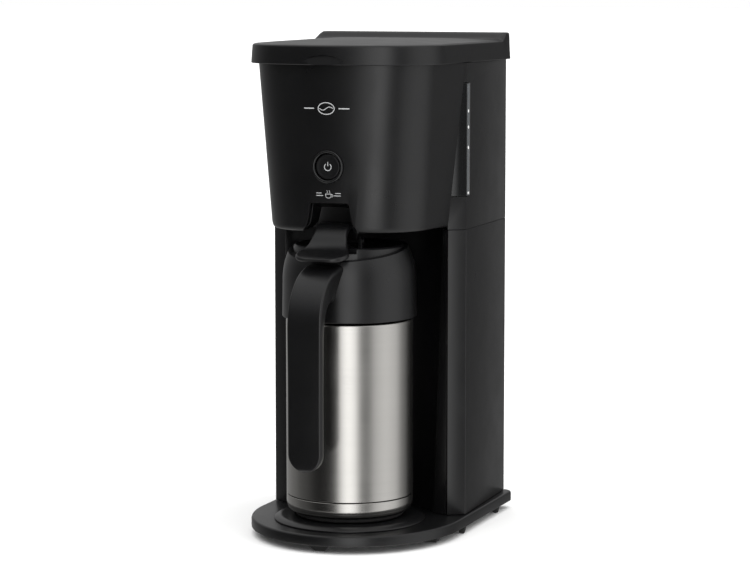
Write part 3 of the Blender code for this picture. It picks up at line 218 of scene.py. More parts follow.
@dataclass(frozen=True)
class MouldedPlastic(Finish):
    """Plastic from a spark-eroded mould."""

    grain_mm: float = 0.9
    depth_mm: float = 0.012
    spread: float = 0.05
    patch_mm: float = 38.0
    wear_mm: float = 26.0

    def pattern(self, tree: bpy.types.NodeTree, shader: bpy.types.Node, place: Socket) -> None:
        """Add eroded grain in the relief, and patches that shine a little more where hands polish them.

        Args:
            tree: the material's nodes.
            shader: its Principled shader.
            place: object coordinates in metres.
        """
        patches = self.mottle(tree, place, self.patch_mm, self.shade(0.90), self.shade(1.12))
        tree.links.new(patches, shader.inputs["Base Color"])
        wear = add_node(tree, "TexNoise", {"Vector": place, "Scale": 1000 / self.wear_mm, "Detail": 3.0})
        fine = add_node(tree, "TexNoise", {"Vector": place, "Scale": 1000 / self.grain_mm, "Detail": 2.0})
        most = add_node(tree, "Math", {0: wear.outputs["Fac"], 1: 0.6}, operation="MULTIPLY")
        both = add_node(tree, "Math", {0: fine.outputs["Fac"], 1: 0.4, 2: most.outputs[0]},
                        operation="MULTIPLY_ADD")
        rough = add_node(tree, "MapRange", {"Value": both.outputs[0], "From Min": 0.3, "From Max": 0.7,
                                            "To Min": self.roughness - self.spread,
                                            "To Max": self.roughness + self.spread})
        tree.links.new(rough.outputs["Result"], shader.inputs["Roughness"])
        cells = add_node(tree, "TexVoronoi", {"Vector": place, "Scale": 1000 / self.grain_mm})
        relief = add_node(tree, "Math", {0: cells.outputs["Distance"], 1: fine.outputs["Fac"]})
        bump = add_node(tree, "Bump", {"Height": relief.outputs[0], "Strength": 0.5,
                                       "Distance": self.depth_mm / 1000})
        tree.links.new(bump.outputs["Normal"], shader.inputs["Normal"])


@dataclass(frozen=True)
class BrushedSteel(Finish):
    """Stainless steel brushed by a belt while the body turns."""

    line_mm: float = 0.30
    run_mm: float = 260.0
    groove_mm: float = 0.01
    fingermark_mm: float = 30.0

    def pattern(self, tree: bpy.types.NodeTree, shader: bpy.types.Node, place: Socket) -> None:
        """Add fine level lines round the jug, some longer and brighter, under faint fingermarks.

        Args:
            tree: the material's nodes.
            shader: its Principled shader.
            place: object coordinates in metres.
        """
        scale = (1000 / self.run_mm, 1000 / self.run_mm, 1000 / self.line_mm)
        stretch = add_node(tree, "Mapping", {"Vector": place, "Scale": scale})
        lines = add_node(tree, "TexNoise", {"Vector": stretch.outputs["Vector"], "Scale": 1.0, "Detail": 6.0,
                                            "Roughness": 0.65})
        tint = add_node(tree, "ValToRGB", {"Fac": lines.outputs["Fac"]})
        colour = ramp_stops(tint, ((0.30, self.shade(0.93)), (0.72, self.shade(1.05))))
        tree.links.new(colour, shader.inputs["Base Color"])
        marks = add_node(tree, "TexNoise", {"Vector": place, "Scale": 1000 / self.fingermark_mm,
                                            "Detail": 3.0})
        blend = add_node(tree, "Math", {0: marks.outputs["Fac"], 1: lines.outputs["Fac"]})
        rough = add_node(tree, "MapRange", {"Value": blend.outputs[0], "From Min": 0.7, "From Max": 1.3,
                                            "To Min": self.roughness - 0.02, "To Max": self.roughness + 0.02})
        tree.links.new(rough.outputs["Result"], shader.inputs["Roughness"])
        bump = add_node(tree, "Bump", {"Height": lines.outputs["Fac"], "Strength": 0.05,
                                       "Distance": self.groove_mm / 1000})
        tree.links.new(bump.outputs["Normal"], shader.inputs["Normal"])
        around = add_node(tree, "Tangent", direction_type="RADIAL", axis="Z")
        tree.links.new(around.outputs["Tangent"], shader.inputs["Tangent"])


@dataclass(frozen=True)
class ClearPlastic(Finish):
    """Clear or smoked acrylic, polished by its mould."""

    flow_mm: float = 14.0
    film_mm: float = 20.0
    ripple_mm: float = 0.2

    def pattern(self, tree: bpy.types.NodeTree, shader: bpy.types.Node, place: Socket) -> None:
        """Add a slow ripple from the melt's flow and a faint film of limescale.

        Args:
            tree: the material's nodes.
            shader: its Principled shader.
            place: object coordinates in metres.
        """
        flow = add_node(tree, "TexNoise", {"Vector": place, "Scale": 1000 / self.flow_mm, "Detail": 2.0})
        rough = add_node(tree, "MapRange", {"Value": flow.outputs["Fac"], "To Min": self.roughness * 0.7,
                                            "To Max": self.roughness * 1.5})
        tree.links.new(rough.outputs["Result"], shader.inputs["Roughness"])
        bump = add_node(tree, "Bump", {"Height": flow.outputs["Fac"], "Strength": 0.15,
                                       "Distance": self.ripple_mm / 1000})
        tree.links.new(bump.outputs["Normal"], shader.inputs["Normal"])
        tint = self.mottle(tree, place, self.film_mm, self.shade(0.92), self.shade(1.08))
        tree.links.new(tint, shader.inputs["Base Color"])


@dataclass(frozen=True)
class MouldedRubber(Finish):
    """Rubber or silicone from a matt mould."""

    bloom_mm: float = 6.0
    pebble_mm: float = 0.5
    depth_mm: float = 0.03

    def pattern(self, tree: bpy.types.NodeTree, shader: bpy.types.Node, place: Socket) -> None:
        """Add powdery bloom in patches over a soft pebbled relief.

        Args:
            tree: the material's nodes.
            shader: its Principled shader.
            place: object coordinates in metres.
        """
        bloom = self.mottle(tree, place, self.bloom_mm, self.shade(0.85), self.shade(1.25))
        tree.links.new(bloom, shader.inputs["Base Color"])
        pebble = add_node(tree, "TexNoise", {"Vector": place, "Scale": 1000 / self.pebble_mm, "Detail": 2.0})
        bump = add_node(tree, "Bump", {"Height": pebble.outputs["Fac"], "Strength": 0.4,
                                       "Distance": self.depth_mm / 1000})
        tree.links.new(bump.outputs["Normal"], shader.inputs["Normal"])


@dataclass(frozen=True)
class BareMetal(Finish):
    """Cast or plated metal inside the machine."""

    grain_mm: float = 0.8

    def pattern(self, tree: bpy.types.NodeTree, shader: bpy.types.Node, place: Socket) -> None:
        """Add crystalline patches that differ in brightness and gloss.

        Args:
            tree: the material's nodes.
            shader: its Principled shader.
            place: object coordinates in metres.
        """
        patches = self.mottle(tree, place, self.grain_mm * 4, self.shade(0.82), self.shade(1.1), 5.0)
        tree.links.new(patches, shader.inputs["Base Color"])
        grain = add_node(tree, "TexVoronoi", {"Vector": place, "Scale": 1000 / self.grain_mm})
        rough = add_node(tree, "MapRange", {"Value": grain.outputs["Distance"],
                                            "To Min": self.roughness - 0.06, "To Max": self.roughness + 0.1})
        tree.links.new(rough.outputs["Result"], shader.inputs["Roughness"])


@dataclass(frozen=True)
class PrintedInk(Finish):
    """Pad-printed ink."""

    thin_mm: float = 0.5

    def pattern(self, tree: bpy.types.NodeTree, shader: bpy.types.Node, place: Socket) -> None:
        """Add slight thin spots where the pad left less ink.

        Args:
            tree: the material's nodes.
            shader: its Principled shader.
            place: object coordinates in metres.
        """
        thin = self.mottle(tree, place, self.thin_mm, self.shade(0.88), self.shade(1.06), 2.0)
        tree.links.new(thin, shader.inputs["Base Color"])


class Finishes:
    """Every finish of the machine, named for what it is made of, and one named for the painted reflection
    that it carries.
    """

    # Moulded ABS: a near-black body whose eroded skin of 0.3 mm spreads highlights into soft bands. The grain
    # is drawn at 0.9 mm, as it would be too fine to show.
    ABS = MouldedPlastic("moulded_abs_black", "black_abs", "#0e0e0f", 0.32, ior=1.54, specular=0.45)
    # Polished ABS on the button's ring: the mould is polished, so its highlight is a crisp crescent.
    GLOSS = MouldedPlastic("polished_abs_black", "gloss_black", "#0c0c0d", 0.16, ior=1.54, grain_mm=1.6,
                           depth_mm=0.004, spread=0.03)
    # Brushed stainless steel: belt lines 0.1 mm apart, drawn at 0.30 mm, draw light out up and down the jug.
    STEEL = BrushedSteel("brushed_stainless_steel", "brushed_steel", "#c5c3bf", 0.20, metallic=1.0,
                         anisotropy=0.75)
    # Smoked acrylic: dark and glossy, so that the tank behind it barely shows.
    SMOKE = ClearPlastic("smoked_acrylic", "clear_smoke", "#0b0c0d", 0.08, ior=1.49, transmission=0.20)
    # Styrene-acrylonitrile: the water tank's clear plastic, faintly grey.
    TANK = ClearPlastic("clear_styrene", "clear_tank", "#cfd4d8", 0.14, ior=1.57, transmission=0.85)
    # Moulded rubber: feet and pads from a matt mould, so they take no highlight.
    RUBBER = MouldedRubber("moulded_rubber_black", "rubber", "#1d1d1d", 0.78, ior=1.52, specular=0.35)
    # Moulded silicone: soft, milky tubes and seals inside.
    SILICONE = MouldedRubber("moulded_silicone_white", "silicone", "#d9d9d5", 0.5, ior=1.41)
    # Die-cast aluminium: a grey skin with cells of about a millimetre.
    ALUMINIUM = BareMetal("die_cast_aluminium", "aluminium", "#c4c4c6", 0.42, metallic=1.0)
    # Zinc-plated steel: bright screws, pins and springs with a fine crystalline skin.
    ZINC = BareMetal("zinc_plated_steel", "zinc_steel", "#b9bbbd", 0.34, metallic=1.0, grain_mm=0.4)
    # Moulded phenolic: the dull brown insulator of the switch and the terminals.
    PHENOLIC = MouldedPlastic("moulded_phenolic", "phenolic", "#3b3631", 0.6, ior=1.6, grain_mm=0.6)
    # Silver and white printing inks: flat, matt marks a little proud of the plastic.
    INK = PrintedInk("silver_printing_ink", "black_abs", "#b4b5b6", 0.45)
    WHITE_INK = PrintedInk("white_printing_ink", "clear_smoke", "#e6e6e4", 0.5)
    # Painted reflection: a grey acrylic strip on the side of the smoked window, lighter than the smoke only
    # to stand for the light that the window reflects there.
    FROSTED = ClearPlastic("smoked_acrylic_painted_reflection", "clear_smoke", "#55585a", 0.38, ior=1.49)

    @classmethod
    def by_slot(cls) -> dict[str, Finish]:
        """Find the finish that stands for each of the record's material slots.

        Returns:
            Finishes by slot.
        """
        named = (cls.ABS, cls.GLOSS, cls.STEEL, cls.SMOKE, cls.TANK, cls.RUBBER, cls.SILICONE, cls.ALUMINIUM,
                 cls.ZINC, cls.PHENOLIC)
        return {finish.slot: finish for finish in named}


# ---------------------------------------------------------------- plane curves

def arc(centre: Pair, radius: float, start: float, end: float, steps: int) -> list[Vector]:
    """Points on an arc, both ends included.

    Args:
        centre: its centre.
        radius: its radius.
        start: first angle, in radians.
        end: last angle.
        steps: number of chords.
    Returns:
        The points in the plane.
    """
    angles = [start + (end - start) * i / steps for i in range(steps + 1)]
    return [Vector((centre[0] + radius * math.cos(a), centre[1] + radius * math.sin(a))) for a in angles]


def bezier(p0: Pair, p1: Pair, p2: Pair, p3: Pair, steps: int) -> list[Vector]:
    """Points along a cubic curve, both ends included.

    Args:
        p0: start.
        p1: first handle.
        p2: second handle.
        p3: end.
        steps: number of chords.
    Returns:
        The points in the plane.
    """
    a, b, c, d = Vector(p0), Vector(p1), Vector(p2), Vector(p3)
    shares = [i / steps for i in range(steps + 1)]
    return [(1 - t) ** 3 * a + 3 * (1 - t) ** 2 * t * b + 3 * (1 - t) * t * t * c + t**3 * d for t in shares]


def offset(path: Sequence[Vector], distance: float, closed: bool = False) -> list[Vector]:
    """Move a path sideways to its left, with mitred corners.

    Args:
        path: points in the plane.
        distance: how far.
        closed: whether the last point joins the first.
    Returns:
        The moved points.
    """
    moved, count = [], len(path)
    for i in range(count):
        runs = []
        if closed or i > 0:
            runs.append((path[i] - path[i - 1]).normalized())
        if closed or i < count - 1:
            runs.append((path[(i + 1) % count] - path[i]).normalized())
        normals = [Vector((-run.y, run.x)) for run in runs]
        mitre = sum(normals, Vector((0.0, 0.0))).normalized()
        moved.append(path[i] + mitre * distance / max(mitre.dot(normals[0]), 0.2))
    return moved


def mirrored(half: list[Vector]) -> list[Vector]:
    """Complete a path that starts at the right and ends on the middle line."""
    return half + [Vector((-p.x, p.y)) for p in reversed(half[:-1])]


def level(plan: Iterable[Vector], z: float) -> list[Triple]:
    """Lift plan points, given from the jug's axis, to a height."""
    return [(p[0], p[1] + JUG_Y, z) for p in plan]


def filleted(corners: Sequence[tuple[float, float, float]], steps: int = 5) -> list[Pair]:
    """Round the corners of an open outline.

    Args:
        corners: points with the radius of the round at each, in metres.
        steps: chords of each round.
    Returns:
        The rounded outline.
    """
    points = []
    last = len(corners) - 1
    for i, (u, v, radius) in enumerate(corners):
        here = Vector((u, v))
        if radius <= 0 or i in (0, last):
            points.append((u, v))
            continue
        back = Vector(corners[i - 1][:2]) - here
        ahead = Vector(corners[i + 1][:2]) - here
        reach = min(radius, 0.49 * back.length, 0.49 * ahead.length)
        start, end = here + back.normalized() * reach, here + ahead.normalized() * reach
        for k in range(steps + 1):
            t = k / steps
            spot = (1 - t) ** 2 * start + 2 * t * (1 - t) * here + t * t * end
            points.append((spot.x, spot.y))
    return points


def catmull(stations: Sequence[Sequence[float]], steps: int) -> list[list[float]]:
    """Run a smooth curve through stations of any size.

    Args:
        stations: rows of numbers.
        steps: rows made for each span.
    Returns:
        The denser rows, both ends included.
    """
    rows = [Vector(s) for s in stations]
    ends = [2 * rows[0] - rows[1]] + rows + [2 * rows[-1] - rows[-2]]
    dense = []
    for a, b, c, d in zip(ends, ends[1:], ends[2:], ends[3:]):
        for i in range(steps):
            t = i / steps
            dense.append(list(0.5 * (2 * b + (c - a) * t + (2 * a - 5 * b + 4 * c - d) * t * t
                                     + (3 * b - a - 3 * c + d) * t**3)))
    return dense + [list(rows[-1])]


@dataclass(frozen=True)
class Corner:
    """Arc that joins a straight flank to a bowed nose."""

    centre: Vector
    start: float
    end: float
    foot: Vector


def flank_corner(end: Vector, flare: float, radius: float, nose: Vector, nose_radius: float) -> Corner:
    """Fit the corner arc between a flank and the nose, touching both.

    Args:
        end: a point on the flank.
        flare: how far the flank leans out, in radians.
        radius: radius of the corner.
        nose: centre of the nose's arc.
        nose_radius: radius of the nose.
    Returns:
        The corner, whose foot is where the flank meets it.
    """
    along = Vector((math.sin(flare), math.cos(flare)))
    outward = Vector((along.y, -along.x))
    start = end - radius * outward - nose
    b = start.dot(along)
    reach = -b - math.sqrt(b * b - start.length_squared + (nose_radius - radius) ** 2)
    centre = nose + start + reach * along
    join = (centre - nose).normalized()
    return Corner(centre, math.atan2(outward.y, outward.x), math.atan2(join.y, join.x),
                  centre + radius * outward)


def smooth_step(low: float, high: float, value: float) -> float:
    """Ease from 0 at low to 1 at high."""
    t = min(max((value - low) / (high - low), 0.0), 1.0)
    return t * t * (3 - 2 * t)


# ---------------------------------------------------------------- meshes

def skin(rings: Sequence[Sequence[Sequence[float]]]) -> bmesh.types.BMesh:
    """Skin rings of points and close both ends.

    Args:
        rings: rings with the same number of points.
    Returns:
        The new mesh.
    """
    bm = bmesh.new()
    loops = [[bm.verts.new(point) for point in ring] for ring in rings]
    bm.faces.new(loops[0][::-1])
    bm.faces.new(loops[-1])
    for lower, upper in zip(loops, loops[1:]):
        for i in range(len(lower)):
            j = (i + 1) % len(lower)
            bm.faces.new((lower[i], lower[j], upper[j], upper[i]))
    return bm


def turned(profile: Sequence[Sequence[float]], centre: Pair = (0.0, 0.0),
           sides: int = 144) -> bmesh.types.BMesh:
    """Turn (radius, height) points about an upright axis.

    Args:
        profile: points from the axis back to it, or a closed outline clear of it.
        centre: the axis in plan, given from the jug's axis.
        sides: number of facets round it.
    Returns:
        The new mesh.
    """
    bm = bmesh.new()
    rings = []
    for radius, height in profile:
        count = sides if radius > 1e-9 else 1
        angles = [2 * math.pi * i / sides for i in range(count)]
        rings.append([bm.verts.new((centre[0] + radius * math.cos(a),
                                    centre[1] + JUG_Y + radius * math.sin(a), height)) for a in angles])
    pairs = list(zip(rings, rings[1:]))
    if profile[0][0] > 1e-9:
        pairs.append((rings[-1], rings[0]))
    for lower, upper in pairs:
        for i in range(sides):
            j = (i + 1) % sides
            corners = dict.fromkeys((lower[i % len(lower)], lower[j % len(lower)],
                                     upper[j % len(upper)], upper[i % len(upper)]))
            if len(corners) > 2:
                bm.faces.new(corners)
    return bm


def turned_forward(profile: Sequence[Pair], y: float, z: float, sides: int = 96) -> bmesh.types.BMesh:
    """Turn (radius, depth) points about a fore-and-aft axis, with depth growing to the back.

    Args:
        profile: the outline.
        y: where depth is nought, given from the jug's axis.
        z: height of the axis.
        sides: number of facets round it.
    Returns:
        The new mesh.
    """
    bm = turned(profile, (0.0, -JUG_Y), sides)
    for vertex in bm.verts:
        x, across, depth = vertex.co
        vertex.co = (x, y + JUG_Y + depth, z + across)
    return bm


def mesh_object(name: str, bm: bmesh.types.BMesh) -> bpy.types.Object:
    """Put a mesh into the scene.

    Args:
        name: the object's name.
        bm: the mesh, which is freed.
    Returns:
        The object.
    """
    bmesh.ops.recalc_face_normals(bm, faces=bm.faces)
    mesh = bpy.data.meshes.new(name)
    bm.to_mesh(mesh)
    bm.free()
    made = bpy.data.objects.new(name, mesh)
    bpy.context.scene.collection.objects.link(made)
    return made


def carve(stock: bmesh.types.BMesh, tool: bmesh.types.BMesh, cut: Cut = Cut.TAKE) -> bmesh.types.BMesh:
    """Cut one mesh with another, or join them.

    Args:
        stock: the mesh that is worked, which is freed.
        tool: the mesh that works it, which is freed.
        cut: what the tool does.
    Returns:
        The worked mesh.
    """
    piece, cutter = mesh_object("carve_stock", stock), mesh_object("carve_tool", tool)
    modifier = piece.modifiers.new("carve", "BOOLEAN")
    modifier.operation = cut.value
    modifier.solver = "EXACT"
    modifier.object = cutter
    held = piece.evaluated_get(bpy.context.evaluated_depsgraph_get())
    worked = bmesh.new()
    worked.from_mesh(held.to_mesh())
    held.to_mesh_clear()
    for spent in (piece, cutter):
        data = spent.data
        bpy.data.objects.remove(spent)
        bpy.data.meshes.remove(data)
    return worked


def soften(bm: bmesh.types.BMesh, width: float, angle: float = 28.0, segments: int = 3,
           where: Optional[Callable[[bmesh.types.BMEdge], bool]] = None) -> bmesh.types.BMesh:
    """Round the sharp edges of a mesh, as a mould does.

    Args:
        bm: the mesh, changed in place.
        width: width of the round.
        angle: edges that turn by more than this many degrees are rounded.
        segments: facets of the round.
        where: picks which of those edges are rounded; all of them if left out.
    Returns:
        The same mesh.
    """
    bmesh.ops.remove_doubles(bm, verts=bm.verts, dist=WELD)
    bmesh.ops.dissolve_limit(bm, angle_limit=FLAT_ANGLE, verts=bm.verts, edges=bm.edges)
    sharp = [e for e in bm.edges if len(e.link_faces) == 2
             and e.calc_face_angle(0.0) > math.radians(angle) and (where is None or where(e))]
    bmesh.ops.bevel(bm, geom=sharp, offset=width, segments=segments, profile=0.5, affect="EDGES",
                    clamp_overlap=True)
    return bm


def make_piece(name: str, bm: bmesh.types.BMesh, body: Body, finish: Finish, replaces: Sequence[str] = (),
               sharp: float = 40.0) -> bpy.types.Object:
    """Make a finished piece that rides on a body.

    Args:
        name: the piece's name.
        bm: its mesh, which is freed.
        body: the body that it moves with.
        finish: its finish.
        replaces: CAD nodes that it stands for.
        sharp: edges that turn by more than this many degrees shade as edges.
    Returns:
        The piece.
    """
    piece = mesh_object(name, bm)
    piece.data.shade_smooth()
    piece.data.set_sharp_from_angle(angle=math.radians(sharp))
    piece.data.materials.append(finish.material())
    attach(piece, body.value)
    if replaces:
        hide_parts(*replaces)
    LOG.info("%s: %d faces on %s", name, len(piece.data.polygons), body.value)
    return piece


def remould(node: str, body: Body, finish: Finish, width: float, segments: int = 2) -> bpy.types.Object:
    """Copy a CAD node with its sharp edges rounded, to stand for it.

    Args:
        node: the CAD node.
        body: the body that it moves with.
        finish: its finish.
        width: width of the rounds.
        segments: facets of the rounds.
    Returns:
        The piece.
    """
    bm = bmesh.new()
    bm.from_mesh(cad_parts[node].data)
    soften(bm, width, 30.0, segments)
    return make_piece(f"{node}_moulded", bm, body, finish, (node,))


# ---------------------------------------------------------------- printed marks

@dataclass
class Marks:
    """Thin printed marks that lie on a curved front."""

    surface: Callable[[float, float], float]
    thickness: float = 0.00016
    sunk: float = 0.00006
    steps: int = 8

    def stroke(self, bm: bmesh.types.BMesh, path: Sequence[Pair], width: float, closed: bool = False) -> None:
        """Lay one printed line.

        Args:
            bm: mesh that gets it.
            path: (x, z) points of its middle.
            width: its width.
            closed: whether its ends join.
        """
        middle = [Vector(p) for p in path]
        left, right = (offset(middle, side * width / 2, closed) for side in (1, -1))
        sections = []
        for a, b in zip(left, right):
            ring = []
            for spot, rise in ((a, 0.0), (a, self.thickness), (b, self.thickness), (b, 0.0)):
                y = self.surface(spot.x, spot.y) + self.sunk - rise
                ring.append(bm.verts.new((spot.x, y + JUG_Y, spot.y)))
            sections.append(ring)
        pairs = list(zip(sections, sections[1:]))
        if closed:
            pairs.append((sections[-1], sections[0]))
        else:
            bm.faces.new(sections[0])
            bm.faces.new(sections[-1][::-1])
        for lower, upper in pairs:
            for i in range(4):
                j = (i + 1) % 4
                bm.faces.new((lower[i], upper[i], upper[j], lower[j]))

    def line(self, bm: bmesh.types.BMesh, start: Pair, end: Pair, width: float) -> None:
        """Lay a straight line, in short steps so that it follows the curve."""
        a, b = Vector(start), Vector(end)
        self.stroke(bm, [a.lerp(b, i / self.steps) for i in range(self.steps + 1)], width)


# ---------------------------------------------------------------- base

@dataclass
class Base:
    """Oval tray on rubber feet, with the round rest for the jug."""

    half: float = 0.0795
    centre_y: float = 0.019
    nose: float = 0.087
    back_y: float = 0.146
    rear_radius: float = 0.007
    edge: float = 0.0018
    lower_edge: float = 0.0006
    wall: float = 0.0022
    rest_margin: float = 0.0092
    rest_slope: float = 0.0040
    dish_margin: float = 0.0060
    dish_depth: float = 0.0004
    foot_edge: float = 0.0004

    def plan(self, inset: float) -> list[Vector]:
        """Draw half an oval in front and a rounded rectangle behind.

        Args:
            inset: how far the outline is drawn in.
        Returns:
            Points from the right back corner round the front to the left one.
        """
        back = (self.half - self.rear_radius, self.back_y - self.rear_radius)
        nose = [Vector(((self.half - inset) * p.x, self.centre_y + (self.nose - inset) * p.y))
                for p in arc((0, 0), 1.0, 0, -math.pi / 2, 48)]
        return mirrored(arc(back, self.rear_radius - inset, math.pi / 2, 0, 8) + nose)

    def build(self) -> None:
        """Build the tray, the rest and the feet."""
        low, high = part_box("base_tray")
        rings = [level(self.plan(self.wall), high.z - self.wall), level(self.plan(self.wall), low.z)]
        for across, up in arc((0, 0), 1.0, 0, math.pi / 2, 2):
            rings.append(level(self.plan(self.lower_edge * (1 - up)), low.z + self.lower_edge * (1 - across)))
        for across, up in arc((0, 0), 1.0, 0, math.pi / 2, 6):
            rings.append(level(self.plan(self.edge * (1 - across)), high.z - self.edge * (1 - up)))
        make_piece("base_tray_moulded", skin(rings), Body.MACHINE, Finishes.ABS, ("base_tray",))
        self.build_rest()
        for name in sorted(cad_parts):
            if "foot" in name:
                remould(name, Body.MACHINE, Finishes.RUBBER, self.foot_edge)

    def build_rest(self) -> None:
        """Build the low dished disc that the jug stands on."""
        low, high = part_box("jug_rest")
        foot = JUG_RADIUS + self.rest_margin
        dish, dish_z = JUG_RADIUS - self.dish_margin, high.z - self.dish_depth
        profile = filleted([
            (0, low.z, 0), (foot, low.z, 0.0002), (foot, low.z + 0.0009, 0.0009),
            (foot - self.rest_slope, high.z, 0.0030), (dish, high.z, self.dish_depth),
            (dish - 0.0006, dish_z, self.dish_depth), (0, dish_z, 0)])
        make_piece("jug_rest_moulded", turned(profile), Body.MACHINE, Finishes.ABS, ("jug_rest",), 50.0)


# ---------------------------------------------------------------- column and rear housing

@dataclass
class Column:
    """Side panels, concave front panel, rear cover and upper rear housing."""

    edge: float = 0.0006
    gland_edge: float = 0.0004
    floor_edge: float = 0.0003
    panels: tuple[str, ...] = ("side_panel_left", "side_panel_right", "column_front_panel", "rear_cover",
                               "head_rear_shell")

    def build(self) -> None:
        """Build the panels with moulded edges, and the gland with softer ones."""
        for name in self.panels:
            remould(name, Body.MACHINE, Finishes.ABS, self.edge, 3)
        remould("cord_gland", Body.MACHINE, Finishes.RUBBER, self.gland_edge)
        remould("head_floor", Body.MACHINE, Finishes.ABS, self.floor_edge)


@dataclass
class Gauge:
    """Smoked water-level window, with a grey strip of painted reflection on the side face and white printed
    dots on it.
    """

    strip_inset: float = 0.0007
    strip_width: float = 0.0052
    strip_margin: float = 0.0008
    strip_proud: float = 0.00012
    window_edge: float = 0.0004
    window_reach: float = 0.008
    side_taper: float = math.radians(2.2)
    dot_radius: float = 0.0012
    ink_proud: float = 0.0002
    low_mark_half: float = 0.0016
    low_mark_z: Pair = (0.0016, 0.0032)
    dot_shares: tuple[float, ...] = (0.25, 0.392, 0.572)

    def build(self) -> None:
        """Build the window, the grey strip of painted reflection and the marks."""
        low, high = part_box("gauge_window")
        remould("gauge_window", Body.MACHINE, Finishes.SMOKE, self.window_edge, 3)
        corner = Vector((high.x, high.y - self.window_reach * math.cos(self.side_taper)))
        run = Vector((-math.sin(self.side_taper), math.cos(self.side_taper)))
        out = Vector((run.y, -run.x))

        def patch(name: str, along: Pair, proud: Pair, heights: Pair, finish: Finish) -> None:
            """Lay a thin upright patch on the side face.

            Args:
                name: the piece's name.
                along: where it starts and ends, from the corner backwards.
                proud: how far its back and its face stand off the side.
                heights: its foot and top.
                finish: its finish.
            """
            (start, end), (back, face) = along, proud
            places = ((start, back), (start, face), (end, face), (end, back))
            plan = [corner + u * run + v * out for u, v in places]
            make_piece(name, skin([[(p.x, p.y, z) for p in plan] for z in heights]), Body.MACHINE, finish)

        strip = (self.strip_inset, self.strip_inset + self.strip_width)
        middle = self.strip_inset + self.strip_width / 2
        # The strip's lighter grey is painted reflection on the side of the smoked window.
        patch("gauge_scale_painted_reflection", strip, (0.0, self.strip_proud),
              (low.z + self.strip_margin, high.z - self.strip_margin), Finishes.FROSTED)
        for i, share in enumerate(self.dot_shares):
            z = high.z - share * (high.z - low.z)
            centre = corner + middle * run + self.strip_proud * out
            rings = []
            for radius, proud in ((1.0, 0.0), (1.0, 0.6 * self.ink_proud), (0.9, self.ink_proud)):
                circle = arc((0, 0), self.dot_radius * radius, 0, 2 * math.pi, 24)[:-1]
                face = centre + proud * out
                rings.append([(face.x + run.x * c, face.y + run.y * c, z + d) for c, d in circle])
            make_piece(f"gauge_dot_{i}", skin(rings), Body.MACHINE, Finishes.WHITE_INK)
        patch("gauge_low_mark", (middle - self.low_mark_half, middle + self.low_mark_half),
              (0.0001, 0.0001 + self.ink_proud), (low.z + self.low_mark_z[0], low.z + self.low_mark_z[1]),
              Finishes.WHITE_INK)


# ---------------------------------------------------------------- head

